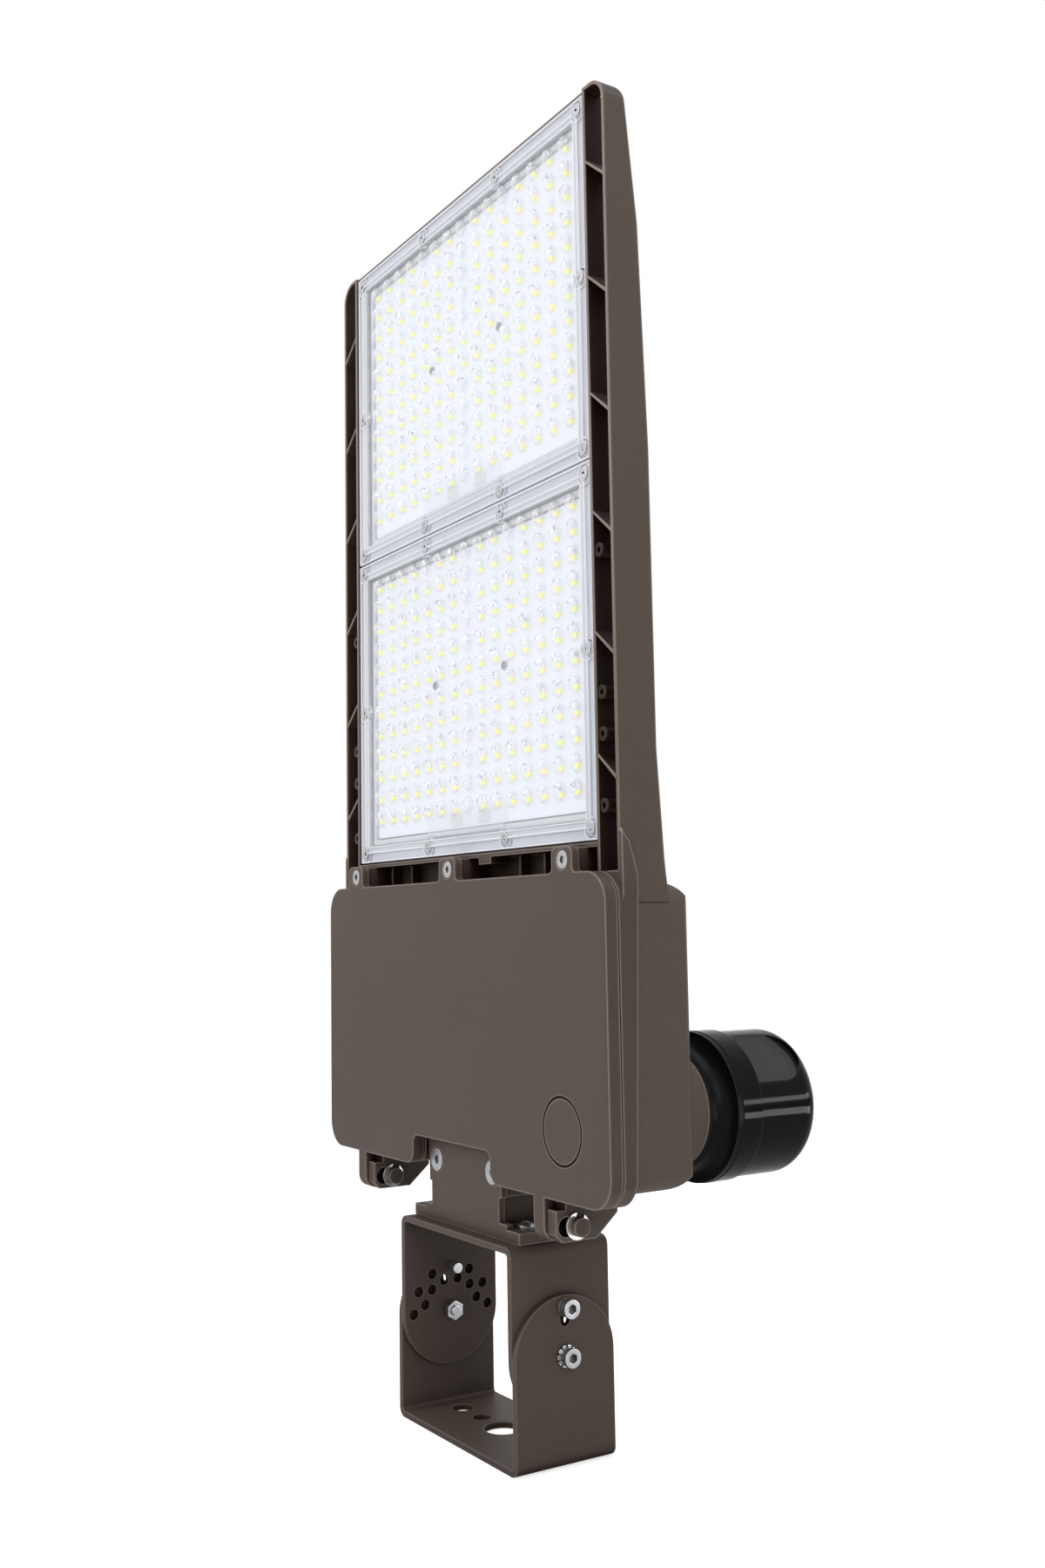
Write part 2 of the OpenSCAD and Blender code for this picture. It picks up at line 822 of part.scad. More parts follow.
gutter_rib_shares = [-0.743, -0.55, 0.387, 0.57];
gutter_rib_t = 1.4;
gutter_rib_in = 6;
nub_x = 24.6;
nub_w = 13;
nub_h = 4;
screw_boss_d = 15;
tab_screw_in = 6.8;
cover_screw_z = box_z1 + tab_h - tab_screw_in;
cover_shank_d = 5;
cover_shank_l = 12;
cover_key = 4;
tab_t = 5;
tab_seat_y = tab_t - cover_front;
wire_d = 14;
box_in_y = box_back - box_wall;
post_d = 8;

module housing() {
    color(bronze)
    difference() {
        union() {
            difference() {
                union() {
                    head_mass();
                    box_mass();
                    for (x = [-box_w / 2, rail_in])
                        along_x(x, box_w / 2 - rail_in)
                            gusset();
                }
                translate([-well_w / 2, -rim_front - over, well_z0])
                    cube([well_w, well_d + over, well_z1 - well_z0]);
                translate([-well_w / 2, -rim_front - over, well_z1 - over])
                    cube([well_w, top_bar_in + over, rail_t + 2 * over]);
                side_channels();
                fins_and_back();
                translate([-well_w / 2, -rim_front - over, box_z1])
                    cube([well_w, gutter_d + over, gutter_z1 - box_z1]);
                along_y(-box_front - over, box_in_y + box_front + over)
                    box_outline(box_wall, rail_set, flank_drop);
            }
            for (k = gutter_rib_shares)
                translate([k * well_w / 2 - gutter_rib_t / 2, gutter_rib_in - rim_front, box_z1 - over])
                    cube([gutter_rib_t, gutter_d - gutter_rib_in + over, gutter_z1 - box_z1 + 2 * over]);
            for (s = [-1, 0, 1])
                translate([s * cover_screw_s - screw_boss_d / 2, 0, box_z1]) {
                    translate([0, tab_seat_y + seat_gap, seat_gap])
                        cube([screw_boss_d, tray_back - tab_seat_y - seat_gap, gutter_z1 - box_z1]);
                    translate([0, -box_front, -over])
                        cube([screw_boss_d, box_front + tray_back, 2 * over]);
                }
            translate([nub_x - nub_w / 2, -rim_front, gutter_z1 - nub_h])
                cube([nub_w, gutter_d + over, nub_h + over]);
            translate([-neck_w / 2, -neck_front, flange_top + arm_waist_h])
                cube([neck_w, neck_front + neck_back,
                    box_z0 + notch_h + box_wall - flange_top - arm_waist_h]);
            translate([arm_jog - neck_w / 2, -neck_front, flange_top])
                cube([neck_w - 2 * arm_jog, neck_front + neck_back, arm_waist_h + over]);
            for (x = [hinge_left, hinge_right])
                along_x(x + ear_off, ear_t)
                    ear_side();
            translate([cell_x, 0, cell_z])
                bar_y(box_in_y, box_wall + boss_l, boss_d);
            for (p = driver_posts())
                translate([p[0], 0, p[1]])
                    bar_y(box_in_y - post_h, post_h + over, post_d);
        }
        for (z = [lens_hi_z, lens_lo_z]) {
            at_lens_screws(z)
                bar_y(tray_y - over, back_boss_l, lens_shank_d);
            for (s = [-1, 1])
                translate([s * board_screw_x, 0, z + board_screw_up])
                    bar_y(tray_y - over, tray_t, board_shank_d);
        }
        for (s = [-1, 0, 1])
            translate([s * cover_screw_s, 0, cover_screw_z])
                bar_y(tab_seat_y - over, cover_shank_l + 2 * over, cover_shank_d + 2 * screw_fit);
        for (s = [-1, 1])
            translate([s * arm_screw_s / 2, 0, arm_screw_z])
                bar_y(-neck_front - over, arm_shank_l, arm_shank_d);
        translate([-neck_room_w / 2, -neck_front + box_wall, flange_top - over])
            cube([neck_room_w, neck_front + neck_back - 2 * box_wall, neck_room + over]);
        translate([0, (neck_back - neck_front) / 2, flange_top + neck_room - over])
            cylinder(h = box_z0 + notch_h + box_wall + 2 * over - flange_top - neck_room, d = wire_d);
        translate([cell_x, 0, cell_z])
            bar_y(box_in_y - over, box_wall + boss_l + 2 * over, boss_bore_d);
        for (p = driver_posts())
            translate([p[0], 0, p[1]])
                bar_y(box_in_y - post_h - over, post_h + over, driver_shank_d);
        at_boss_screws()
            bar_y(box_back + boss_l - boss_screw_l, boss_screw_l + over, boss_screw_d);
    }
}

neck_room = arm_screw_z - arm_head_d / 2 - flange_top;
neck_room_w = neck_w - 2 * arm_jog - 2 * box_wall;
boss_screw_d = 3;
boss_screw_l = 10;
boss_bore_share = 0.7;
boss_bore_d = boss_d * boss_bore_share;
boss_screw_r = (boss_d + boss_bore_d) / 4;
thirds = [0, 120, 240];
screw_turn = 30;

// Places a child at the three screws that hold the receptacle on its boss
module at_boss_screws() {
    translate([cell_x, 0, cell_z])
        for (a = thirds)
            rotate([0, a + screw_turn, 0])
                translate([boss_screw_r, 0, 0])
                    children();
}

skirt_t = 1.8;
skirt_back = tray_y - seat_gap;
lens_sink = 2.5;
lens_depth = rim_front - lens_sink - lens_t;
lens_front = lens_t + lens_depth;
ridge_w = 1.6;
ridge_out_in = 0.6;
ridge_in_in = 10.4;
lens_boss_d = 8.4;

// One lens, centred at height z: field, skirt, two ridges and screw bosses
module lens(z) {
    difference() {
        union() {
            along_y(-lens_front, lens_t)
                translate([0, z])
                    rounded(lens_w, lens_h, skirt_t);
            along_y(-lens_front, lens_front + skirt_back)
                translate([0, z])
                    difference() {
                        rounded(lens_w, lens_h, skirt_t);
                        square([lens_w - 2 * skirt_t, lens_h - 2 * skirt_t], center = true);
                    }
            for (k = [ridge_out_in, ridge_in_in])
                along_y(-lens_front - ridge_h, ridge_h + over)
                    translate([0, z])
                        difference() {
                            square([lens_w - 2 * k, lens_h - 2 * k], center = true);
                            square([lens_w - 2 * k - 2 * ridge_w, lens_h - 2 * k - 2 * ridge_w],
                                center = true);
                        }
            at_lens_screws(z)
                bar_y(-lens_front - ridge_h, lens_front + ridge_h + skirt_back, lens_boss_d);
        }
        at_lens_screws(z)
            bar_y(-lens_front - ridge_h - over, 2 * rim_front, lens_shank_d + 2 * screw_fit);
        at_lens_screws(z)
            bar_y(-lens_front - ridge_h - over, over + lens_head_h, lens_head_d + screw_fit);
    }
}

module lens_upper() { color(clear) lens(lens_hi_z); }

module lens_lower() { color(clear) lens(lens_lo_z); }

seal_in = 12;
seal_w = 3;

module lens_seal(z) {
    along_y(-lens_depth, lens_depth + tray_y)
        translate([0, z])
            difference() {
                square([lens_w - 2 * seal_in, lens_h - 2 * seal_in], center = true);
                square([lens_w - 2 * seal_in - 2 * seal_w, lens_h - 2 * seal_in - 2 * seal_w],
                    center = true);
            }
}

module lens_seal_upper() { color(white) lens_seal(lens_hi_z); }

module lens_seal_lower() { color(white) lens_seal(lens_lo_z); }

lens_shank_l = 9;
lens_key = 2.5;

module lens_screws() {
    color(steel)
    for (z = [lens_hi_z, lens_lo_z])
        at_lens_screws(z)
            translate([0, lens_head_h - lens_front - ridge_h, 0])
                rotate([90, 0, 0])
                    cap_screw(lens_shank_d, lens_shank_l, lens_head_d, lens_head_h, lens_key);
}

board_gap = 1.2;
board_in = seal_in + seal_w + board_gap;
board_w = lens_w - 2 * board_in;
board_h = lens_h - 2 * board_in;
board_y = tray_y - board_t;
led_t = 0.8;
blank_step = 3;
board_screw_share = 0.1489;
board_screw_x = lens_w * board_screw_share;
board_screw_up = 5.9;
board_shank_d = 3;
board_head_d = 5.4;
board_head_h = 1.1;
board_key = 2;

module light_board(z) {
    difference() {
        along_y(board_y, board_t)
            translate([0, z])
                rounded(board_w, board_h, board_t);
        for (s = [-1, 1])
            translate([s * board_screw_x, 0, z + board_screw_up])
                bar_y(board_y - over, board_t + 2 * over, board_shank_d + 2 * run_fit);
    }
}

module light_board_upper() { color(white) light_board(lens_hi_z); }

module light_board_lower() { color(white) light_board(lens_lo_z); }

// Whether a chip sits off places from the middle column in row r: the middle column is filled
// only in its middle rows, and the top row is blank one step to either side
function chip_here(off, r) =
    off == 0 ? abs(r - (led_rows - 1) / 2) < 1 : r > 0 || abs(off) != blank_step;

module chips(z) {
    for (c = [0 : led_cols - 1], r = [0 : led_rows - 1])
        let (off = c - (led_cols - 1) / 2)
            if (chip_here(off, r))
                translate([off * led_pitch_x - led_w / 2, board_y - led_t,
                    z + lens_h / 2 - led_top_in - r * led_pitch_z - led_w / 2])
                    cube([led_w, led_t, led_w]);
}

module chips_upper() { color("gold") chips(lens_hi_z); }

module chips_lower() { color("gold") chips(lens_lo_z); }

plug_w = 12;
plug_h = 7;
plug_d = 1.2;

module board_connectors() {
    color("white")
    for (z = [lens_hi_z, lens_lo_z], s = [-1, 1])
        translate([s * led_pitch_x - plug_w / 2, board_y - plug_d, z - board_h / 2 + led_w / 2])
            cube([plug_w, plug_d, plug_h]);
}

module board_screws() {
    color(steel)
    for (z = [lens_hi_z, lens_lo_z], s = [-1, 1])
        translate([s * board_screw_x, board_y, z + board_screw_up])
            rotate([90, 0, 0])
                cap_screw(board_shank_d, board_t + tray_t / 2, board_head_d, board_head_h, board_key);
}

knock_in = 42;
knock_x = box_w / 2 - knock_in;
knock_rise = 35.4;
knock_z = box_z0 + knock_rise;
knock_groove = 1.2;
tab_r = 4;
tab_root_r = 3;
knuckle_back = 6.5;
knuckle_drop = 8;
knuckle_rise = 12;

// Front view of the three screw tabs on the cover's top edge
module tabs_outline() {
    for (s = [-1, 0, 1])
        translate([s * cover_screw_s, box_z1 - cover_t]) {
            translate([-tab_w / 2, 0])
                square([tab_w, tab_h + cover_t - tab_r]);
            translate([tab_r - tab_w / 2, 0])
                square([tab_w - 2 * tab_r, tab_h + cover_t]);
            for (q = [-1, 1])
                translate([q * (tab_w / 2 - tab_r), tab_h + cover_t - tab_r])
                    circle(tab_r);
            difference() {
                translate([-tab_w / 2 - tab_root_r, 0])
                    square([tab_w + 2 * tab_root_r, cover_t + tab_root_r]);
                for (q = [-1, 1])
                    translate([q * (tab_w / 2 + tab_root_r), cover_t + tab_root_r])
                        circle(tab_root_r);
            }
        }
}

// Side view of a cover knuckle, low enough behind the seam to turn below the box
module knuckle_side() {
    difference() {
        union() {
            translate([-cover_front, hinge_z])
                square([hinge_y + knuckle_back + cover_front, box_z0 - hinge_z + over]);
            translate([knuckle_drop - cover_front, hinge_z - knuckle_drop])
                square([hinge_y + knuckle_back + cover_front - knuckle_drop,
                    knuckle_drop + over]);
            translate([knuckle_drop - cover_front, hinge_z])
                circle(knuckle_drop);
        }
        translate([seam_y, hinge_z + knuckle_rise])
            square([2 * cover_front, cover_front]);
        translate([hinge_y, hinge_z])
            circle(d = pin_d);
    }
}

module driver_cover() {
    color(bronze)
    difference() {
        union() {
            difference() {
                along_y(-cover_front, cover_d)
                    box_outline();
                along_y(cover_t - cover_front, cover_d)
                    box_outline(cover_t);
            }
            along_y(-cover_front, tab_t)
                tabs_outline();
            for (x = [hinge_left, hinge_right])
                along_x(x - knuckle_w / 2, knuckle_w)
                    knuckle_side();
        }
        for (s = [-1, 0, 1])
            translate([s * cover_screw_s, 0, cover_screw_z]) {
                bar_y(-cover_front - over, tab_t + 2 * over, cover_shank_d + 2 * run_fit);
                bar_y(-cover_front - over, over + tab_t / 2, cover_head_d + 2 * screw_fit);
            }
        translate([knock_x, 0, knock_z])
            difference() {
                bar_y(-cover_front - over, over + knock_groove, knockout_d + knock_groove);
                bar_y(-cover_front - 2 * over, 2 * over + 2 * knock_groove, knockout_d - knock_groove);
            }
    }
}

seal_edge = 1.6;
seal_ring_w = box_wall - seal_edge;

module cover_seal() {
    color(black)
    along_y(seam_y, seal_t)
        difference() {
            box_outline(seal_edge);
            box_outline(seal_edge + seal_ring_w - run_fit);
        }
}

module cover_screws() {
    color(steel)
    for (s = [-1, 0, 1])
        translate([s * cover_screw_s, tab_t / 2 - cover_front, cover_screw_z])
            rotate([90, 0, 0])
                cap_screw(cover_shank_d, cover_shank_l, cover_head_d, tab_t / 2 - seat_gap, cover_key);
}

ring_t = 1.2;
ring_off = ear_off + ear_t + seat_gap;
groove_depth = 0.8;
// Turn of a retaining ring's mouth from upright
ring_turn = 18;

module hinge_pins() {
    color(bronze)
    for (x = [hinge_left, hinge_right])
        translate([x, hinge_y, hinge_z])
            difference() {
                bar_x(-knuckle_w / 2, pin_l, pin_d);
                difference() {
                    bar_x(ring_off, ring_t, pin_d + over);
                    bar_x(ring_off - over, ring_t + 2 * over, pin_d - 2 * groove_depth);
                }
            }
}

module retaining_rings() {
    color(steel)
    for (x = [hinge_left, hinge_right])
        translate([x, hinge_y, hinge_z])
            difference() {
                bar_x(ring_off, ring_t, ring_d);
                bar_x(ring_off - over, ring_t + 2 * over, pin_d - 2 * groove_depth);
                rotate([-ring_turn, 0, 0])
                    translate([ring_off - over, -pin_d / 4, 0])
                        cube([ring_t + 2 * over, pin_d / 2, ring_d]);
            }
}

surge_w = 30;
surge_h = 52;
surge_d = 22;
surge_side = 1;
block_w = 46;
block_h = 14;
block_d = 15;
post_h = 4;
driver_shank_d = 4;
driver_d = 30;
driver_foot = 3;
driver_side = 2.5;
driver_room = 31.5;
driver_hi_w = head_w - 2 * box_wall - driver_side - driver_room - surge_w - surge_side;
driver_step = 56;
driver_lo_w = driver_hi_w - driver_step;
driver_top_in = 26;
driver_low_in = 25;
driver_apart = 8;
driver_hi_share = 0.537;
driver_stack = box_h - driver_top_in - driver_apart - driver_low_in;
driver_hi_h = driver_stack * driver_hi_share;
driver_lo_h = driver_stack - driver_hi_h;
driver_back = box_in_y - post_h;
driver_left = box_wall + driver_side - head_w / 2;
driver_hi_x = driver_left + driver_hi_w / 2;
driver_lo_x = driver_left + driver_lo_w / 2;
driver_hi_z = box_z1 - driver_top_in - driver_hi_h / 2;
driver_lo_z = driver_hi_z - driver_hi_h / 2 - driver_apart - driver_lo_h / 2;

// Corner screws of a driver of width w and height h centred at x, z
function corners(x, z, w, h) = [for (sx = [-1, 1], sz = [-1, 1])
    [x + sx * (w / 2 - 2 * driver_foot), z + sz * (h / 2 - 2 * driver_foot)]];

// Corner posts for both drivers
function driver_posts() = concat(corners(driver_hi_x, driver_hi_z, driver_hi_w, driver_hi_h),
    corners(driver_lo_x, driver_lo_z, driver_lo_w, driver_lo_h));

// Driver with feet at both ends, in a case of depth driver_d
module led_driver(x, z, w, h) {
    case_w = w - 8 * driver_foot;
    difference() {
        union() {
            translate([x - w / 2, driver_back - driver_foot, z - h / 2])
                cube([w, driver_foot, h]);
            translate([x - case_w / 2, driver_back - driver_d, z - h / 2])
                cube([case_w, driver_d, h]);
        }
        for (p = corners(x, z, w, h))
            translate([p[0], 0, p[1]])
                bar_y(driver_back - driver_foot - over, driver_foot + 2 * over,
                    driver_shank_d + 2 * screw_fit);
    }
}

module driver_upper() {
    color("silver") led_driver(driver_hi_x, driver_hi_z, driver_hi_w, driver_hi_h);
}

module driver_lower() {
    color("silver") led_driver(driver_lo_x, driver_lo_z, driver_lo_w, driver_lo_h);
}

module driver_screws() {
    color(steel)
    for (p = driver_posts())
        translate([p[0], driver_back - driver_foot, p[1]])
            rotate([90, 0, 0])
                cap_screw(driver_shank_d, driver_foot + post_h, 2 * driver_shank_d,
                    driver_shank_d / 2, driver_shank_d / 2);
}

module surge_protector() {
    color("firebrick")
    translate([head_w / 2 - box_wall - surge_side - surge_w, box_in_y - surge_d,
        box_z1 - flank_drop - box_wall - back_r - surge_h])
        cube([surge_w, surge_d, surge_h]);
}

module terminal_block() {
    color("ivory")
    translate([cell_x - boss_r - block_w, box_in_y - block_d,
        driver_hi_z - driver_hi_h / 2 - 2 * block_h])
        cube([block_w, block_d, block_h]);
}

boss_end = box_back + boss_l;
flare_y0 = boss_end + seal_t;
flare_y1 = flare_y0 + flare_l;
flare_r = cell_d / 2 - seat_gap;
boss_r = boss_d / 2;
core_r = boss_bore_d / 2 - 2 * seat_gap;
prong_r = 13;
prong_w = 1.6;
prong_wide = 9;
prong_half = asin(prong_wide / 2 / prong_r);
slot_play = 3;
prong_l = 11;
prong_play = 0.5;
twist_max = 35;
floor_t = 3;
rim_lip = 1.4;
core_l = 9;
boss_key = 2;

module receptacle_seal() {
    color(black)
    difference() {
        translate([cell_x, 0, cell_z])
            difference() {
                bar_y(boss_end, seal_t, boss_d);
                bar_y(boss_end - over, seal_t + 2 * over, boss_bore_d);
            }
        at_boss_screws()
            bar_y(boss_end - over, seal_t + 2 * over, boss_screw_d + screw_fit);
    }
}

// Half section of the receptacle: a core inside the boss and a concave flare outside
module receptacle_section() {
    hollow = flare_r - boss_r - rim_lip;
    translate([0, -core_l])
        square([core_r, core_l + over]);
    difference() {
        square([flare_r, flare_l]);
        translate([boss_r + rim_lip / 2 + hollow, -over])
            square([hollow, flare_l - floor_t - hollow + over]);
        translate([boss_r + rim_lip / 2 + hollow, flare_l - floor_t - hollow])
            circle(hollow);
    }
}

// Bar bent along an arc between two angles, for the prongs and their slots
module arc_bar(r, a0, a1, w, h) {
    rotate([0, 0, a0])
        rotate_extrude(angle = a1 - a0)
            translate([r - w / 2, 0])
                square([w, h]);
}

module receptacle() {
    color(black)
    difference() {
        translate([cell_x, flare_y0, cell_z])
            rotate([-90, 0, 0])
                difference() {
                    rotate_extrude($fn = 96)
                        receptacle_section();
                    for (a = thirds)
                        translate([0, 0, flare_l - prong_l - over])
                            arc_bar(prong_r, a - prong_half - slot_play,
                                a + prong_half + slot_play + twist_max,
                                prong_w + 2 * prong_play, prong_l + 2 * over);
                }
        at_boss_screws() {
            bar_y(boss_end, flare_l + 2 * over, boss_screw_d + screw_fit);
            bar_y(flare_y1 - floor_t, floor_t + over, 2 * boss_screw_d + screw_fit);
        }
    }
}

module receptacle_screws() {
    color(steel)
    at_boss_screws()
        translate([0, flare_y1 - floor_t, 0])
            rotate([-90, 0, 0])
                cap_screw(boss_screw_d, flare_l - floor_t + seal_t + boss_screw_l - over,
                    2 * boss_screw_d, floor_t - 2 * seat_gap, boss_key);
}

cell_y0 = flare_y1 + seat_gap;
cell_y1 = cell_y0 + cell_band;
cell_y2 = cell_y1 + cell_cap;
cell_r = cell_d / 2;
cap_step = 1.2;
cap_r = cell_r - cap_step;
cap_t = 2.4;
cap_round = 12;
base_t = 3.5;
window_turn = 47;
window_w = 34;
window_end = 7.3;
window_l = cell_cap - window_end;
window_sink = 3.5;

// The three bent prongs of length l, from the depth y0
module prongs(y0, l) {
    translate([cell_x, y0, cell_z])
        rotate([-90, 0, 0])
            for (a = thirds)
                arc_bar(prong_r, a - prong_half, a + prong_half, prong_w, l);
}

module photocell_base() {
    color(black)
    difference() {
        translate([cell_x, 0, cell_z])
            difference() {
                bar_y(cell_y0, cell_band, cell_d);
                bar_y(cell_y0 + base_t, cell_band, cell_d - 4 * cap_t);
            }
        prongs(cell_y0 - over, base_t + 2 * over);
    }
}

module photocell_prongs() {
    color("goldenrod")
    prongs(cell_y0 - prong_l + over, prong_l + base_t);
}

// Half section of a cap with a rounded end, radius r, length l
module cap_section(r, l, e) {
    square([r, l - e]);
    square([r - e, l]);
    translate([r - e, l - e])
        intersection() {
            circle(e);
            square(e);
        }
}

// Arch of the window at the cap's shoulder, of half width r, from depth z by h
module window_arch(r, z, h) {
    rotate([0, 90 - window_turn, 0])
        translate([0, 0, z]) {
            translate([-r, -over, 0])
                cube([2 * r, window_l - window_w / 2 + over, h]);
            translate([0, window_l - window_w / 2, 0])
                cylinder(h = h, r = r);
        }
}

window_t = 2;
window_z = cap_r - window_sink - window_t;

module photocell_cap() {
    color(black)
    translate([cell_x, cell_y1, cell_z])
        difference() {
            rotate([-90, 0, 0])
                rotate_extrude($fn = 96)
                    difference() {
                        cap_section(cap_r, cell_cap, cap_round);
                        translate([0, -over])
                            cap_section(cap_r - cap_t, cell_cap - cap_t + over, cap_round - cap_t);
                    }
            window_arch(window_w / 2, window_z, cap_r);
        }
}

module photocell_window() {
    color([0.1, 0.1, 0.11, 0.6])
    translate([cell_x, cell_y1, cell_z])
        difference() {
            window_arch(window_w / 2 - run_fit, window_z, window_t);
            bar_y(-2 * over, 2 * over, cell_d);
        }
}

cell_board_t = 1.6;
sensor_d = 5;
sensor_l = 7;
sensor_in = 7;

module photocell_board() {
    color("seagreen")
    translate([cell_x, cell_y1 + seat_gap, cell_z])
        bar_y(0, cell_board_t, cell_d - 6 * cap_t);
}

module photocell_sensor() {
    color(clear)
    translate([cell_x, cell_y1 + seat_gap + cell_board_t, cell_z])
        rotate([0, 90 - window_turn, 0])
            translate([0, 0, window_z - sensor_in]) {
                bar_y(0, sensor_l, sensor_d);
                translate([0, sensor_l, 0])
                    sphere(d = sensor_d);
            }
}

lower_bracket();
upper_bracket();
tilt_bolts();
tilt_washers();
tilt_nuts();
lock_screws();
lock_washers();
lock_studs();
mounting_arm();
arm_screws();
saddle_screws();
saddle_nuts();
housing();
lens_upper();
lens_lower();
lens_seal_upper();
lens_seal_lower();
lens_screws();
light_board_upper();
light_board_lower();
chips_upper();
chips_lower();
board_connectors();
board_screws();
driver_cover();
cover_seal();
cover_screws();
hinge_pins();
retaining_rings();
driver_upper();
driver_lower();
driver_screws();
surge_protector();
terminal_block();
receptacle();
receptacle_seal();
receptacle_screws();
photocell_base();
photocell_cap();
photocell_prongs();
photocell_window();
photocell_sensor();
photocell_board();
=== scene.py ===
"""Looks for the shoebox area light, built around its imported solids.

Each operator makes one piece or one group of like pieces, and the last one makes the stage.
"""

import json
import math

import bpy
from bpy.props import FloatProperty, FloatVectorProperty, IntProperty, PointerProperty
from mathutils import Matrix, Vector


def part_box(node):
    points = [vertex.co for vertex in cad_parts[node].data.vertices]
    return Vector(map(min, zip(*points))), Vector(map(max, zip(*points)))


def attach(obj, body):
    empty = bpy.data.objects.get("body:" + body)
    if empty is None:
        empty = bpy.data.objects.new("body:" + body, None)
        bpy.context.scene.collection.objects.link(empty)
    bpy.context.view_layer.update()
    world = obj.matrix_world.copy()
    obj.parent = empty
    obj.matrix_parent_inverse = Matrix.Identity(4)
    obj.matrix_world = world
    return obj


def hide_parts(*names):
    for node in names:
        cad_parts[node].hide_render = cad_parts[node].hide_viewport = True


bl_info = {
    "name": "Shoebox area light",
    "version": (1, 0, 0),
    "blender": (4, 5, 0),
    "location": "View3D > Sidebar > Area light",
    "description": "Dresses the packed area light with lenses, finishes and a studio",
    "category": "Object",
}

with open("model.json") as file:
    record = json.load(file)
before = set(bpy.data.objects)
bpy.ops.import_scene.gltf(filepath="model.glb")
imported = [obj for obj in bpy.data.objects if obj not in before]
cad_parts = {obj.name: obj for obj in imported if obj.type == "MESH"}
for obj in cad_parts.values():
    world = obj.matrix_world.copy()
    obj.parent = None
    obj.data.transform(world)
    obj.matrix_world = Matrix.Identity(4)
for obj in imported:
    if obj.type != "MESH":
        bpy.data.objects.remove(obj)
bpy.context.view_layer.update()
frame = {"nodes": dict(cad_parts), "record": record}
NODES = frame["nodes"]
MOUNTS = frame["record"]["mounts"]
MM = 0.001

# Steps on the head and cover that their painted highlights and painted shade follow, each from
# where a mask starts to where it is full. The word after a step is the axis it is on.
RIM_FRONT = (-21.85 * MM, -21.7 * MM)  # Y, the front rims of rails and ribs
RIM_BACK = (-21.7 * MM, -21.2 * MM)  # Y, just behind those rims
RIM_SIDE = (136.5 * MM, 137.0 * MM)  # X, outwards of the lenses
RIM_FADE = (350.0 * MM, 520.0 * MM)  # Z, where the painted highlight on the rims fades in and the rims turn lighter
CHANNEL_INNER = (138.0 * MM, 138.5 * MM)  # X
CHANNEL_OUTER = (154.7 * MM, 155.5 * MM)  # X
CHANNEL_FLOOR = (0.0, 4.0 * MM)  # Y
GUTTER_SIDE = (136.9 * MM, 138.0 * MM)  # X
GUTTER_TOP = (329.6 * MM, 330.2 * MM)  # Z
GUTTER_FLOOR = (-8.0 * MM, -7.5 * MM)  # Y
BOX_TOP = (316.8 * MM, 317.4 * MM)  # Z, above the driver box
FLANK_SIDE = (156.5 * MM, 157.5 * MM)  # X, the box's sides
FLANK_FADE = (300.0 * MM, 335.0 * MM)  # Z
COVER_SIDE = (155.5 * MM, 157.2 * MM)  # X, the cover's sides
MIDDLE = (-10.0 * MM, 10.0 * MM)  # X, from the left half to the right
RAIL_END_Z = 306.5 * MM
RAIL_END_REACH = (6.5 * MM, 7.5 * MM)
RAIL_END_FRONT = (-11.5 * MM, -11.0 * MM)  # Y
KNOCKOUT_R = 17.3 * MM
KNOCKOUT_GROOVE = (0.4 * MM, 1.1 * MM)
KNOCKOUT_DEPTH = (1.5 * MM, 2.0 * MM)

# How dark the painted shade in the pockets is, from 0 to 1.
LEFT_CHANNEL = 0.72
RIGHT_CHANNEL = 0.95
GUTTER = 0.66

# Steps on a lens sheet.
RIB_CREST = (-20.6 * MM, -20.2 * MM)  # Y, the tops of the border's ridges
BORDER_EDGE = (-0.6 * MM, 0.4 * MM)  # from the border's inner edge
FIELD_EDGE = (0.8 * MM, 1.4 * MM)  # from the border's inner edge
WALL_MIDDLE = 1.2 * MM
WALL_REACH = 1.6 * MM
PLUG_STRIP = (26.5 * MM, 27.5 * MM)  # above the sheet's lower edge
DOME_FOOT = (-1.2 * MM, -0.2 * MM)  # ahead of the field
WHITE = (1.0, 1.0, 1.0)

# The camera of the photograph: its turn, pitch and roll in degrees, place and lens.
CAMERA_ANGLES = (57.527, 5.583, -0.934)
CAMERA_PLACE = (0.7609, -0.4639, 0.2878)
CAMERA_LENS = 34.347
PHOTOCELL_MIDDLE = (0.156, 0.08, 0.19)


# ---------------------------------------------------------------- shader maths


class Value:
    """One output socket of a finish, whose arithmetic adds the Math nodes it needs."""

    def __init__(self, finish, socket):
        self.finish = finish
        self.socket = socket

    def math(self, operation, *others):
        values = dict(enumerate((self, *others)))
        return self.finish.node("ShaderNodeMath", {"operation": operation}, values, "Value")

    def __add__(self, other):
        return self.math("ADD", other)

    __radd__ = __add__

    def __mul__(self, other):
        return self.math("MULTIPLY", other)

    __rmul__ = __mul__

    def __sub__(self, other):
        return self.math("SUBTRACT", other)

    def __rsub__(self, other):
        return self.finish.node(
            "ShaderNodeMath", {"operation": "SUBTRACT"}, {0: other, 1: self}, "Value"
        )

    def __truediv__(self, other):
        return self.math("DIVIDE", other)

    def __pow__(self, other):
        return self.math("POWER", other)

    def __abs__(self):
        return self.math("ABSOLUTE")

    def above(self, low, high):
        """0 below low, 1 above high, and a smooth step between."""
        return self.finish.node(
            "ShaderNodeMapRange",
            {"interpolation_type": "SMOOTHSTEP"},
            {"Value": self, "From Min": low, "From Max": high},
            "Result",
        )

    def larger(self, other):
        return self.math("MAXIMUM", other)

    def smaller(self, other):
        return self.math("MINIMUM", other)


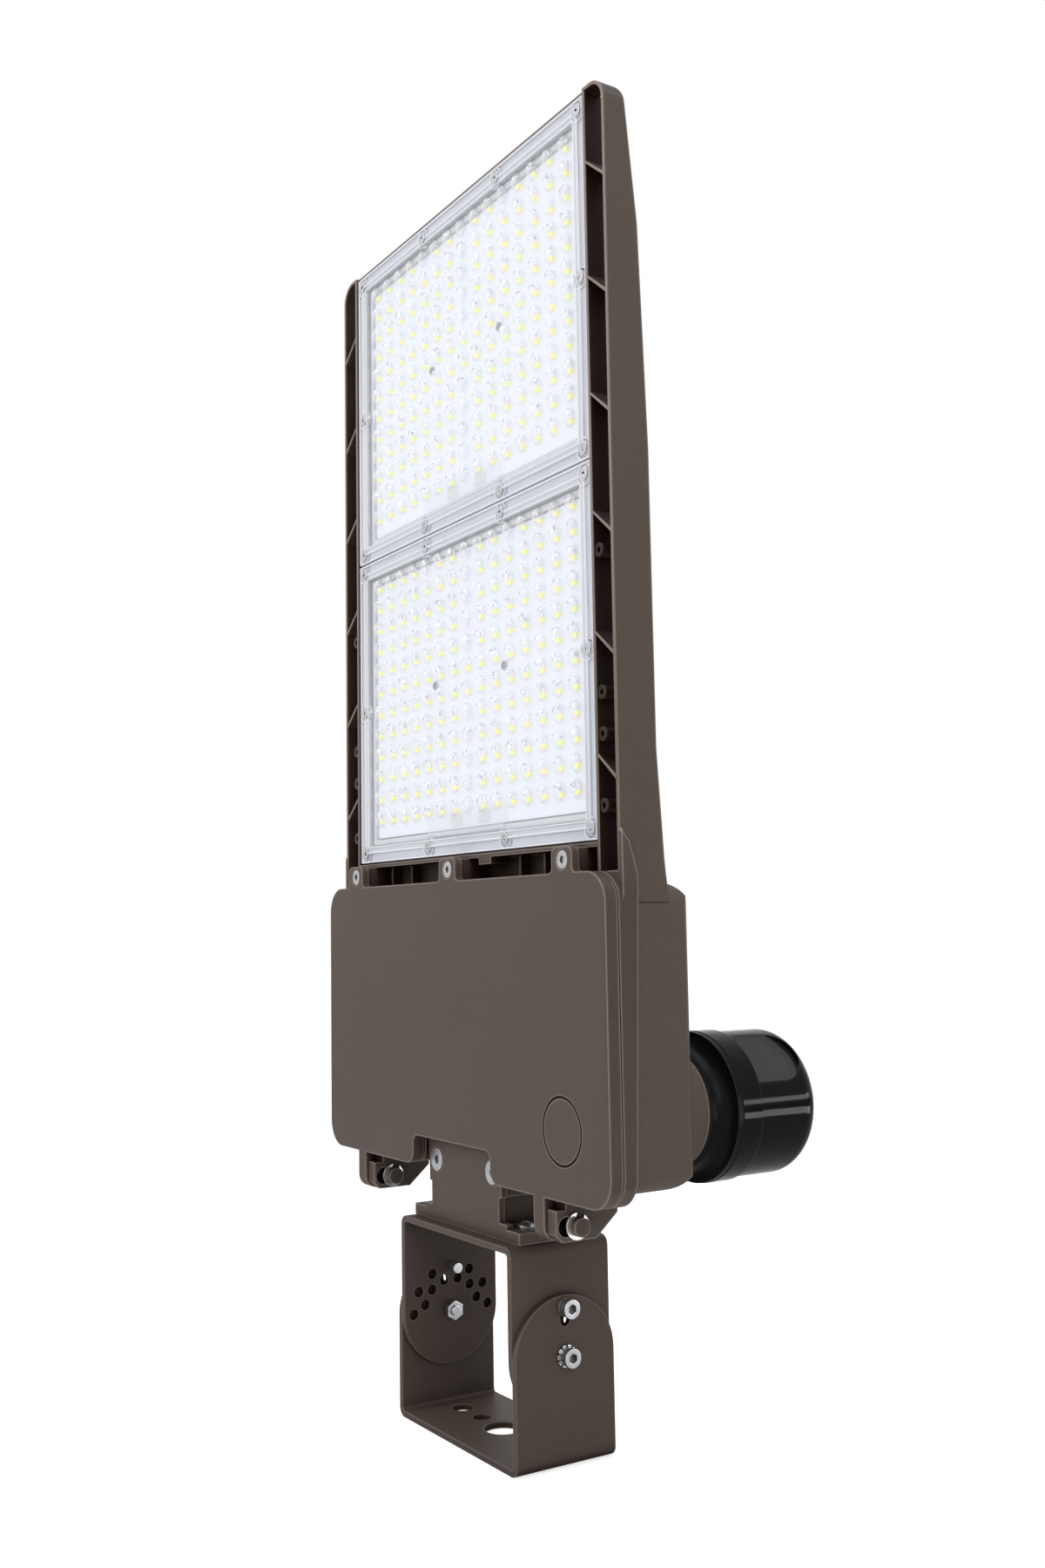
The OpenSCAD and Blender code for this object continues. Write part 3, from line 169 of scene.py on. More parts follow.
class Finish:
    """A material or world being made, with one method that adds any node."""

    def __init__(self, name, kind="materials"):
        self.block = getattr(bpy.data, kind).new(name)
        self.block.use_nodes = True
        self.tree = self.block.node_tree
        self.tree.nodes.clear()

    @staticmethod
    def find(sockets, key):
        if isinstance(key, int):
            return sockets[key]
        for socket in sockets:
            if key in (socket.identifier, socket.name) and socket.enabled:
                return socket
        raise KeyError(key)

    def node(self, kind, settings=None, inputs=None, out=0):
        """Adds a node, sets its settings first and then its inputs, and returns one output."""
        made = self.tree.nodes.new(kind)
        for key, setting in (settings or {}).items():
            if key == "stops":
                ramp = made.color_ramp
                while len(ramp.elements) < len(setting):
                    ramp.elements.new(1.0)
                for element, (place, colour) in zip(ramp.elements, setting):
                    element.position = place
                    element.color = (*colour, 1.0)
            else:
                setattr(made, key, setting)
        for key, given in (inputs or {}).items():
            socket = self.find(made.inputs, key)
            if isinstance(given, Value):
                self.tree.links.new(given.socket, socket)
            elif socket.type == "RGBA" and len(given) == 3:
                socket.default_value = (*given, 1.0)
            else:
                socket.default_value = given
        return Value(self, self.find(made.outputs, out) if made.outputs else None)

    def blend(self, factor, first, second):
        """Colour that goes from first to second."""
        return self.node(
            "ShaderNodeMix",
            {"data_type": "RGBA"},
            {"Factor_Float": factor, "A_Color": first, "B_Color": second},
            "Result_Color",
        )

    def place(self, axis=None):
        """The piece's own coordinates, or one of them."""
        spot = self.node("ShaderNodeTexCoord", out="Object")
        if axis is None:
            return spot
        return self.node("ShaderNodeSeparateXYZ", inputs={"Vector": spot}, out=axis)

    def noise(self, scale, detail=2.0, rough=0.5, stretch=None):
        """Noise of a scale in waves a metre, stretched along the axes if asked."""
        spot = self.place()
        if stretch:
            spot = self.node("ShaderNodeMapping", inputs={"Vector": spot, "Scale": stretch})
        return self.node(
            "ShaderNodeTexNoise",
            inputs={"Vector": spot, "Scale": scale, "Detail": detail, "Roughness": rough},
            out="Fac",
        )

    def cells(self, scale):
        """Distance to the middle of the nearest cell, of a scale in cells a metre."""
        inputs = {"Vector": self.place(), "Scale": scale}
        return self.node("ShaderNodeTexVoronoi", inputs=inputs, out="Distance")

    def edge_normal(self, radius):
        """The surface's normal, rounded off at its edges."""
        return self.node("ShaderNodeBevel", {"samples": 6}, {"Radius": radius}, "Normal")

    def edges(self, radius):
        """1 on an outward edge, 0 on a flat face or in a corner."""
        settings = {"samples": 6, "inside": True, "only_local": True}
        solid = self.node("ShaderNodeAmbientOcclusion", settings, {"Distance": radius}, "AO")
        return 1.0 - solid.above(0.55, 0.95)

    def crevices(self, reach):
        """1 in a seam, a groove or a tight corner."""
        settings = {"samples": 6}
        free = self.node("ShaderNodeAmbientOcclusion", settings, {"Distance": reach}, "AO")
        return 1.0 - free.above(0.15, 0.62)

    def open_air(self, reach):
        """1 in the open, less in a corner or a pocket."""
        inputs = {"Distance": reach}
        return self.node("ShaderNodeAmbientOcclusion", {"samples": 4}, inputs, "AO")

    def bump(self, height, strength, distance, normal=None):
        inputs = {"Height": height, "Strength": strength, "Distance": distance}
        if normal is not None:
            inputs["Normal"] = normal
        return self.node("ShaderNodeBump", inputs=inputs, out="Normal")

    def surface(self, **inputs):
        """The shader itself, with its constants on its own sockets, wired to the output."""
        named = {key.replace("_", " "): given for key, given in inputs.items()}
        shader = self.node("ShaderNodeBsdfPrincipled", inputs=named, out="BSDF")
        self.node("ShaderNodeOutputMaterial", inputs={"Surface": shader})
        return self.block


# ---------------------------------------------------------------- finishes


def head_pocket_shade(f):
    """1 inside the side channels and the gutter below the lower lens, where painted shade goes.
    """
    x, y, z = abs(f.place("X")), f.place("Y"), f.place("Z")
    sunk = y.above(*RIM_BACK) * z.above(*BOX_TOP)
    # The painted shade is of a different depth in the left and the right channel.
    side = LEFT_CHANNEL + (RIGHT_CHANNEL - LEFT_CHANNEL) * f.place("X").above(*MIDDLE)
    channel = x.above(*CHANNEL_INNER) * (1.0 - x.above(*CHANNEL_OUTER))
    channel = channel * (1.0 - y.above(*CHANNEL_FLOOR))
    gutter = (1.0 - x.above(*GUTTER_SIDE)) * (1.0 - z.above(*GUTTER_TOP))
    gutter = gutter * (1.0 - y.above(*GUTTER_FLOOR))
    return sunk * (channel * side).larger(gutter * GUTTER)


def head_rim_highlights(f):
    """1 on the narrow front rims of the rails, struts and slanted ribs, where a painted highlight
    goes, fading out lower down.
    """
    x, y, z = abs(f.place("X")), f.place("Y"), f.place("Z")
    return (1.0 - y.above(*RIM_FRONT)) * x.above(*RIM_SIDE) * z.above(*RIM_FADE)


def rail_ends(f):
    """1 on the lower ends of the rails, whose short edges stay plain, without painted highlight
    or painted seam shade.
    """
    end = 1.0 - abs(f.place("Z") - RAIL_END_Z).above(*RAIL_END_REACH)
    return end * f.place("Y").above(*RAIL_END_FRONT)


def head_side_shade(f):
    """1 on the sides of the band between the box's seam and its crease, which are painted in
    shade, fading out upwards.
    """
    return abs(f.place("X")).above(*FLANK_SIDE) * (1.0 - f.place("Z").above(*FLANK_FADE))


def knockout_groove_shade(f):
    """1 in the groove round the cover's closed knockout, where painted shade goes."""
    face_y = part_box("driver_cover")[0].y
    spot = next(m["pos_m"] for m in MOUNTS if m["name"] == "knockout_face")
    x, z = f.place("X") - spot[0], f.place("Z") - spot[2]
    reach = (x * x + z * z) ** 0.5
    front = 1.0 - f.place("Y").above(*(face_y + depth for depth in KNOCKOUT_DEPTH))
    return (1.0 - abs(reach - KNOCKOUT_R).above(*KNOCKOUT_GROOVE)) * front


def cover_side_shade(f):
    """1 on the sides of the cover, which are painted in shade."""
    return abs(f.place("X")).above(*COVER_SIDE)


def powder_coat(
    name, colour, highlight_colour, shade_colour, edge=0.0011, pockets=None, rims=None, side_shade=None
):
    """Satin powder coat: fine orange peel and faint clouding, with painted highlights on its
    edges and rims, and painted shade in its pockets, seams and corners and, if asked, on its
    sides.
    """
    f = Finish(name)
    cloud = f.noise(14.0, 3.0)
    speck = f.noise(900.0, 2.0, 0.7)
    peel = f.noise(1500.0, 2.0, 0.6)
    # Painted highlight on outward edges.
    edge_highlight = f.edges(edge)
    # Painted shade where little open air reaches, in pockets and corners.
    deep = 1.0 - f.open_air(0.022).above(0.2, 0.7)
    # Painted shade in seams, grooves and tight corners.
    seam = f.crevices(0.0022) * 0.85
    # Painted highlight on the rims given. It is left off the rail ends, and so is the painted
    # seam shade.
    if rims:
        plain = 1.0 - rail_ends(f)
        edge_highlight = (edge_highlight * plain).larger(rims(f) * 0.9)
        seam = seam * plain
    deep = deep.larger(seam)
    # Painted shade in the pockets given, where the painted highlight is mostly left off.
    if pockets:
        sunk = pockets(f)
        deep = deep.larger(0.98 * sunk)
        edge_highlight = edge_highlight * (1.0 - 0.9 * sunk)
    shade = f.blend(cloud.above(0.3, 0.7) * 0.5, colour, [0.92 * c for c in colour])
    if side_shade:
        # Painted shade on the sides given.
        shade = f.blend(side_shade(f), shade, [0.74 * c for c in colour])
    shade = f.blend(speck.above(0.45, 0.75) * 0.35, shade, [1.35 * c for c in colour])
    # The painted shade, in the shade colour.
    shade = f.blend(deep, shade, shade_colour)
    # The painted highlight, in the highlight colour.
    shade = f.blend(edge_highlight * 0.62, shade, highlight_colour)
    rough = 0.42 + 0.08 * cloud - 0.1 * edge_highlight
    normal = f.bump(peel, 0.12, 0.0001, f.edge_normal(edge))
    return f.surface(
        Base_Color=shade, Roughness=rough, Specular_IOR_Level=0.14, Normal=normal
    )


def bright_steel(name, colour, sunk=0.9):
    """Zinc-plated steel with fine turning marks and small dull patches, with painted shade in its
    hollows and painted highlights on its edges.
    """
    f = Finish(name)
    grain = f.noise(900.0, 3.0, 0.65)
    patch = f.noise(160.0, 2.0)
    # Painted shade in sockets and recesses, as dark as sunk asks.
    hollow_shade = 1.0 - f.open_air(0.005).above(0.2, 0.8)
    # Painted highlight on outward edges.
    edge_highlight = f.edges(0.0005)
    shade = f.blend(patch.above(0.35, 0.75) * 0.5, colour, [0.6 * c for c in colour])
    shade = f.blend(hollow_shade * sunk, shade, [0.12 * c for c in colour])
    shade = f.blend(edge_highlight * 0.8, shade, (0.95, 0.95, 0.96))
    rough = 0.22 + 0.24 * patch
    normal = f.bump(grain, 0.18, 0.00012, f.edge_normal(0.0004))
    return f.surface(Base_Color=shade, Metallic=1.0, Roughness=rough, Normal=normal)


def black_moulding(name, colour, rough_low, rough_high, edge):
    """Black moulded plastic, glossy or satin, with a painted highlight on its edges."""
    f = Finish(name)
    grain = f.noise(2200.0, 2.0)
    cloud = f.noise(40.0, 2.0)
    # Painted highlight on outward edges.
    edge_highlight = f.edges(edge)
    shade = f.blend(edge_highlight * 0.35, colour, [c + 0.06 for c in colour])
    rough = rough_low + (rough_high - rough_low) * cloud
    normal = f.bump(grain, 0.04, 0.00005, f.edge_normal(edge))
    return f.surface(
        Base_Color=shade, Roughness=rough, Specular_IOR_Level=0.08, Normal=normal
    )


def plain_moulding(name, colour, rough):
    """Moulded plastic or rubber with a fine grain and faint mottling."""
    f = Finish(name)
    grain = f.noise(1600.0, 2.0)
    cloud = f.noise(60.0, 2.0)
    shade = f.blend(cloud.above(0.3, 0.7) * 0.4, colour, [0.88 * c for c in colour])
    normal = f.bump(grain, 0.1, 0.00008)
    return f.surface(Base_Color=shade, Roughness=rough + 0.1 * cloud, Normal=normal)


def sheet_metal(name, colour):
    """Rolled aluminium case with a fine grain along X."""
    f = Finish(name)
    grain = f.noise(220.0, 3.0, 0.6, (0.06, 1.0, 1.0))
    shade = f.blend(grain.above(0.3, 0.7), colour, [0.85 * c for c in colour])
    normal = f.bump(grain, 0.08, 0.0001)
    rough = 0.34 + 0.14 * grain
    return f.surface(Base_Color=shade, Metallic=1.0, Roughness=rough, Normal=normal)


def board_finish(name, colour, centre, pitch):
    """White solder mask with faint copper runs between the rows, and a faint bluish painted glow
    that lightens it under the lens.
    """
    f = Finish(name)
    row = abs((f.place("Z") - centre.z) / pitch[1]).math("FRACT")
    run = 1.0 - abs(row - 0.5).above(0.03, 0.07)
    cloud = f.noise(30.0, 2.0)
    shade = f.blend(run * 0.35, colour, [0.95 * c for c in colour])
    shade = f.blend(cloud.above(0.4, 0.7) * 0.3, shade, [0.97 * c for c in colour])
    normal = f.bump(run, 0.15, 0.0001)
    return f.surface(
        Base_Color=shade,
        Roughness=0.35 + 0.1 * cloud,
        Normal=normal,
        # Painted light: a faint bluish glow that lightens the board, which is no lamp.
        Emission_Color=(0.8, 0.88, 1.0),
        Emission_Strength=0.12,
    )


def phosphor(name, colour, glow):
    """Yellow phosphor, a little deeper where it is thick, with a painted glow as strong as glow
    asks.
    """
    f = Finish(name)
    grain = f.noise(1800.0, 2.0)
    thick = (colour[0], 0.9 * colour[1], 0.7 * colour[2])
    shade = f.blend(grain.above(0.3, 0.8) * 0.4, colour, thick)
    return f.surface(
        Base_Color=shade,
        Roughness=0.4 + 0.1 * grain,
        # Painted light: the phosphor glows as strongly as glow asks.
        Emission_Color=shade,
        Emission_Strength=glow,
    )


def clear_lens(name, tint, shadow, centre, half, pitch, first, sizes):
    """Clear moulded sheet, bluish white, with a ribbed border whose troughs and inner wall carry
    painted shadow, and optics with painted glints and painted dark reflections on their crowns
    and a painted highlight round their feet.
    """
    f = Finish(name)
    x, z = f.place("X"), f.place("Z")
    inset = (half.x - abs(x - centre.x)).smaller(half.z - abs(z - centre.z))
    border = 1.0 - inset.above(*(sizes.field_in + step for step in BORDER_EDGE))
    wall = 1.0 - abs(inset - (sizes.field_in + WALL_MIDDLE)).above(0.0, WALL_REACH)
    wall = wall * (1.0 - border)
    cell_x = ((x - centre.x) / pitch[0]).math("WRAP", 0.5, -0.5)
    cell_z = ((z - first) / pitch[1] - 0.1).math("WRAP", 0.5, -0.5)
    height = f.place("Y")
    ribs = 1.0 - height.above(*RIB_CREST)
    inner = inset.above(*(sizes.field_in + step for step in FIELD_EDGE))
    inner = inner * z.above(*(centre.z - half.z + step for step in PLUG_STRIP))
    dome = (1.0 - height.above(*(step - sizes.field_back for step in DOME_FOOT))) * inner
    crown = (cell_z + 0.25 * cell_x).above(0.02, 0.1) * dome
    foot = (1.0 - crown) * dome
    facing = f.node("ShaderNodeLayerWeight", inputs={"Blend": 0.3}, out="Facing")
    # Noise for the painted glints and the painted dark reflections on the crowns of the optics.
    sparkle = f.noise(700.0, 2.0, 0.6, (1.0, 1.0, 0.5))
    dark_reflection_noise = f.noise(620.0, 2.0, 0.5, (1.0, 1.0, 0.45))
    cloud = f.noise(60.0, 2.0)
    # Painted glints on the crowns of the optics.
    glint = sparkle.above(0.54, 0.6) * crown
    # Painted dark reflections on the crowns, between the glints.
    dark_reflection = dark_reflection_noise.above(0.5, 0.64) * crown * (1.0 - glint)
    trough = border * (1.0 - ribs)
    # Painted shadow in the troughs of the border.
    shade = f.blend(trough * (0.7 + 0.3 * cloud), tint, shadow)
    # Painted shadow on the inner wall of the border.
    shade = f.blend(wall * 0.35, shade, [0.85 * c for c in shadow])
    # The painted dark reflections.
    shade = f.blend(dark_reflection * 0.85, shade, [0.55 * c for c in shadow])
    # The painted glints, and a painted highlight round the feet of the optics, in white.
    shade = f.blend(glint.larger(foot * 0.7), shade, WHITE)
    # The painted glints and dark reflections are less see-through.
    alpha = 0.26 + 0.3 * facing + 0.54 * border + 0.3 * wall + 0.6 * glint + 0.4 * dark_reflection
    return f.surface(
        Base_Color=shade,
        Roughness=0.06 + 0.05 * cloud,
        Alpha=alpha.smaller(0.97),
        Normal=f.bump(cloud, 0.05, 0.0002),
    )


def smoked_pane(name, colour):
    """Smoked clear plastic: dark, glossy, see-through from the front."""
    f = Finish(name)
    facing = f.node("ShaderNodeLayerWeight", inputs={"Blend": 0.5}, out="Facing")
    cloud = f.noise(80.0, 2.0)
    shade = f.blend(cloud, colour, [1.5 * c for c in colour])
    rough = 0.04 + 0.03 * cloud
    return f.surface(Base_Color=shade, Roughness=rough, Alpha=0.3 + 0.55 * facing)


def clear_bulb(name, tint):
    """Clear moulded bulb with a bright, faceted heart, lit by a faint painted glow."""
    f = Finish(name)
    facet = f.cells(700.0)
    facing = f.node("ShaderNodeLayerWeight", inputs={"Blend": 0.4}, out="Facing")
    shade = f.blend(facet.above(0.2, 0.6), WHITE, [0.55 * c for c in tint])
    return f.surface(
        Base_Color=shade,
        Roughness=0.05 + 0.1 * facet,
        Alpha=0.65 + 0.35 * facing,
        Normal=f.bump(facet, 0.5, 0.0004),
        # Painted light: the bulb glows a little, though it is no lamp.
        Emission_Color=shade,
        Emission_Strength=0.25,
    )


def green_board(name, colour):
    """Green solder mask with pale pads."""
    f = Finish(name)
    cell = f.cells(260.0)
    pad = 1.0 - cell.above(0.18, 0.24)
    shade = f.blend(pad, colour, (0.7, 0.72, 0.6))
    normal = f.bump(pad, 0.2, 0.0001)
    return f.surface(Base_Color=shade, Roughness=0.3 + 0.2 * cell, Normal=normal)


# ---------------------------------------------------------------- modelling helpers


def deselect_all():
    if bpy.context.object is not None and bpy.context.object.mode != "OBJECT":
        bpy.ops.object.mode_set(mode="OBJECT")
    bpy.ops.object.select_all(action="DESELECT")


def new_piece(name, primitive, **where):
    """Adds a primitive with nothing else selected, and names it."""
    deselect_all()
    primitive(**where)
    piece = bpy.context.object
    piece.name = name
    piece.data.name = name
    return piece


def choose(piece):
    """Makes a piece the active object and the only one selected."""
    deselect_all()
    piece.select_set(True)
    bpy.context.view_layer.objects.active = piece


def settle(piece):
    """Puts the piece's place into its mesh and leaves its object at the origin."""
    choose(piece)
    bpy.ops.object.transform_apply(location=True, rotation=True, scale=True)


def edit(piece, select="FACE", action="SELECT"):
    """Opens a piece in edit mode with all or none of it selected."""
    choose(piece)
    bpy.ops.object.mode_set(mode="EDIT")
    bpy.ops.mesh.select_mode(type=select)
    bpy.ops.mesh.select_all(action=action)


def pick_faces(piece, test):
    """Selects the faces that pass a test of their centre and normal."""
    bpy.ops.object.mode_set(mode="OBJECT")
    for vertex in piece.data.vertices:
        vertex.select = False
    for line in piece.data.edges:
        line.select = False
    for face in piece.data.polygons:
        face.select = test(face.center, face.normal)
    bpy.ops.object.mode_set(mode="EDIT")


def pick_vertices(piece, test):
    """Selects the vertices that pass a test of their place."""
    bpy.ops.object.mode_set(mode="OBJECT")
    for face in piece.data.polygons:
        face.select = False
    for line in piece.data.edges:
        line.select = False
    for vertex in piece.data.vertices:
        vertex.select = test(vertex.co)
    bpy.ops.object.mode_set(mode="EDIT")


def repeat(piece, count, step):
    """Copies a piece in a row, inside its own mesh."""
    row = piece.modifiers.new("row", "ARRAY")
    row.use_relative_offset = False
    row.use_constant_offset = True
    row.constant_offset_displace = step
    row.count = count
    choose(piece)
    bpy.ops.object.modifier_apply(modifier=row.name)


def round_edges(piece, width, segments, angle):
    """Rounds the sharp edges of a piece."""
    soft = piece.modifiers.new("soft", "BEVEL")
    soft.width = width
    soft.segments = segments
    soft.limit_method = "ANGLE"
    soft.angle_limit = math.radians(angle)
    choose(piece)
    bpy.ops.object.modifier_apply(modifier=soft.name)


def smooth(piece, angle):
    """Shades a piece smooth up to an angle between its faces."""
    choose(piece)
    bpy.ops.object.shade_smooth_by_angle(angle=math.radians(angle))


def spread(piece, places):
    """Copies of a piece, each with its own mesh, at further places beside the first."""
    copies = []
    for offset in places:
        other = piece.copy()
        other.data = piece.data.copy()
        other.data.transform(Matrix.Translation(offset))
        bpy.context.scene.collection.objects.link(other)
        copies.append(other)
    return copies


def join(piece, others):
    """Makes others part of a piece's mesh."""
    choose(piece)
    for other in others:
        other.select_set(True)
    bpy.ops.object.join()
    return piece


def give(piece, body, slot, material, *nodes):
    """Gives a finished piece its material, parents it to its body's empty and hides the nodes it
    replaces.
    """
    piece.data.materials.clear()
    piece.data.materials.append(material)
    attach(piece, body)
    if nodes:
        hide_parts(*nodes)


def coat(material, *nodes):
    """Puts a finish on CAD nodes."""
    for node in nodes:
        NODES[node].data.materials.clear()
        NODES[node].data.materials.append(material)


# ---------------------------------------------------------------- settings


class AreaLightLensSizes(bpy.types.PropertyGroup):
    """Sizes of the moulded lens sheets."""

    columns: IntProperty(
        name="Optic columns", description="Domes across one lens", default=15, min=1
    )
    rows: IntProperty(
        name="Optic rows", description="Domes down one lens", default=12, min=1
    )
    dome_w: FloatProperty(
        name="Dome width", description="Width of one optic", default=9.4 * MM, unit="LENGTH"
    )
    dome_h: FloatProperty(
        name="Dome height", description="Height of one optic", default=11.0 * MM, unit="LENGTH"
    )
    dome_out: FloatProperty(
        name="Dome rise",
        description="How far an optic stands out",
        default=3.6 * MM,
        unit="LENGTH",
    )
    dome_up: FloatProperty(
        name="Dome lift",
        description="Height of an optic's middle above its chip",
        default=1.8 * MM,
        unit="LENGTH",
    )
    boss_d: FloatProperty(
        name="Boss diameter",
        description="Diameter of a screw boss",
        default=8.4 * MM,
        unit="LENGTH",
    )
    skirt: FloatProperty(
        name="Foot diameter",
        description="Diameter of the wider foot of a screw boss",
        default=12.6 * MM,
        unit="LENGTH",
    )
    chip_w: FloatProperty(
        name="Phosphor width",
        description="Width of the yellow phosphor under an optic",
        default=3.6 * MM,
        unit="LENGTH",
    )
    chip_h: FloatProperty(
        name="Phosphor height",
        description="Height of the yellow phosphor under an optic",
        default=3.0 * MM,
        unit="LENGTH",
    )
    field_back: FloatProperty(
        name="Field depth",
        description="Distance of the lens's field ahead of the bracket's centre",
        default=17.6 * MM,
        unit="LENGTH",
    )
    field_in: FloatProperty(
        name="Border width",
        description="Width of the ribbed border round the lens's field",
        default=11.1 * MM,
        unit="LENGTH",
    )


class AreaLightColours(bpy.types.PropertyGroup):
    """Colours of the finishes, with their painted highlights and painted shade, in linear values.
    """

    bronze: FloatVectorProperty(
        name="Bronze",
        description="Powder coat of the head, cover and arm",
        subtype="COLOR",
        default=(0.09, 0.0695, 0.0565),
        min=0.0,
        max=1.0,
    )
    # Painted highlight laid on the edges and rims of the head, cover and arm.
    bronze_highlight: FloatVectorProperty(
        name="Bronze edges",
        description="Lighter edges of the head, cover and arm",
        subtype="COLOR",
        default=(0.4, 0.33, 0.29),
        min=0.0,
        max=1.0,
    )
    # Painted highlight laid on the edges of the brackets.
    bracket_highlight: FloatVectorProperty(
        name="Bracket edges",
        description="Lighter edges of the brackets",
        subtype="COLOR",
        default=(0.21, 0.165, 0.135),
        min=0.0,
        max=1.0,
    )
    # Painted shade: the near-black brown laid where shade falls in pockets, seams, grooves and
    # corners of the cast parts and the brackets.
    pocket: FloatVectorProperty(
        name="Pocket brown",
        description="Powder coat deep inside pockets",
        subtype="COLOR",
        default=(0.0185, 0.0078, 0.005),
        min=0.0,
        max=1.0,
    )
    bracket: FloatVectorProperty(
        name="Bracket bronze",
        description="Powder coat of the brackets",
        subtype="COLOR",
        default=(0.081, 0.0615, 0.051),
        min=0.0,
        max=1.0,
    )
    steel: FloatVectorProperty(
        name="Steel",
        description="Plated screws, nuts and washers",
        subtype="COLOR",
        default=(0.52, 0.53, 0.55),
        min=0.0,
        max=1.0,
    )
    lens: FloatVectorProperty(
        name="Lens tint",
        description="Clear moulded lens over the boards",
        subtype="COLOR",
        default=(0.92, 0.935, 0.985),
        min=0.0,
        max=1.0,
    )
    lens_shadow: FloatVectorProperty(
        name="Lens shadow",
        description="Clear moulded lens in its border",
        subtype="COLOR",
        default=(0.64, 0.66, 0.74),
        min=0.0,
        max=1.0,
    )
    board: FloatVectorProperty(
        name="Board white",
        description="Solder mask of the light boards",
        subtype="COLOR",
        default=(0.84, 0.868, 0.95),
        min=0.0,
        max=1.0,
    )
    chip: FloatVectorProperty(
        name="Phosphor yellow",
        description="Phosphor of the chips",
        subtype="COLOR",
        default=(0.98, 0.93, 0.12),
        min=0.0,
        max=1.0,
    )
    black: FloatVectorProperty(
        name="Black",
        description="Mouldings of the photocell and its socket",
        subtype="COLOR",
        default=(0.004, 0.004, 0.0045),
        min=0.0,
        max=1.0,
    )


class AreaLightStage(bpy.types.PropertyGroup):
    """The studio round the light."""

    floor_size: FloatProperty(
        name="Floor size", description="Width of the floor", default=40.0, unit="LENGTH"
    )
    ambient: FloatProperty(
        name="Ambient", description="Strength of the room's even light", default=0.55, min=0.0
    )
    key: FloatProperty(
        name="Key light", description="Power of the large front softbox", default=24.0, min=0.0
    )
    top: FloatProperty(
        name="Top light", description="Power of the overhead softbox", default=14.0, min=0.0
    )
    strip: FloatProperty(
        name="Strips", description="Strength of the narrow rear reflectors", default=11.0, min=0.0
    )
    side: FloatProperty(
        name="Side light", description="Power of the right-hand softbox", default=16.0, min=0.0
    )


# ---------------------------------------------------------------- lenses


CHIP_CARRIER = 3.5 * MM
RIM_BELOW_FRONT = 2.3 * MM
# From a sheet's rim to its field, in millimetres: the width of each step and how
# far it stands out.
RIB_STEPS = (
    (0.3, 2.1),
    (0.9, 0.0),  # outer bead
    (0.3, -1.5),
    (4.5, 0.0),  # trough
    (0.3, 1.4),
    (0.9, 0.0),  # ridge
    (0.3, -0.8),
    (2.2, 0.0),  # shallow trough
    (0.3, 0.8),
    (0.7, 0.0),  # inner ridge
    (0.4, -3.3),  # wall down to the field
)
DOME_SHOULDER = (0.94, 1.12, 1.0)
BOSS_DEPTH = 3.6 * MM
BOSS_BACK = 0.5 * MM
BOSS_CREST = 2.8 * MM
BOSS_GROOVE = 0.9 * MM
PLUG_POCKET_SIZE = (92.0 * MM, 14.0 * MM, 1.0)
PLUG_POCKET_AT = (-4.0 * MM, 0.2 * MM, 19.0 * MM)  # from the lens's foot and field
PLUG_POCKET_RISE = 1.3 * MM
SAME_SCREW = 5.0 * MM


def middle_and_half(node):
    """Middle of a node's box and half its size."""
    low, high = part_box(node)
    return (low + high) / 2, (high - low) / 2


def chip_pitch(node):
    """Spacing of the chips and the place of their top row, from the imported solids."""
    low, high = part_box(node)
    sizes = bpy.context.scene.area_light_lens
    across = (high.x - low.x - CHIP_CARRIER) / (sizes.columns - 1)
    down = (high.z - low.z - CHIP_CARRIER) / (sizes.rows - 1)
    return (across, down), high.z - CHIP_CARRIER / 2


def lens_sheet(node):
    """The moulded sheet: a tray turned forwards, with a bead, troughs and ridges."""
    centre, half = middle_and_half(node)
    low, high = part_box(node)
    sheet = new_piece(
        node.replace("lens", "lens_sheet"),
        bpy.ops.mesh.primitive_plane_add,
        size=1.0,
        location=(centre.x, high.y, centre.z),
        rotation=(math.pi / 2, 0.0, 0.0),
    )
    sheet.scale = (2 * half.x, 2 * half.z, 1.0)
    settle(sheet)
    edit(sheet)
    rise = high.y - low.y - RIM_BELOW_FRONT
    bpy.ops.mesh.extrude_region_move(TRANSFORM_OT_translate={"value": (0.0, -rise, 0.0)})
    for width, depth in RIB_STEPS:
        bpy.ops.mesh.inset(thickness=width * MM, depth=depth * MM)
    pick_faces(sheet, lambda at, normal: at.y > high.y - 0.1 * MM)
    bpy.ops.mesh.delete(type="FACE")
    bpy.ops.object.mode_set(mode="OBJECT")
    round_edges(sheet, 0.28 * MM, 2, 28.0)
    return sheet


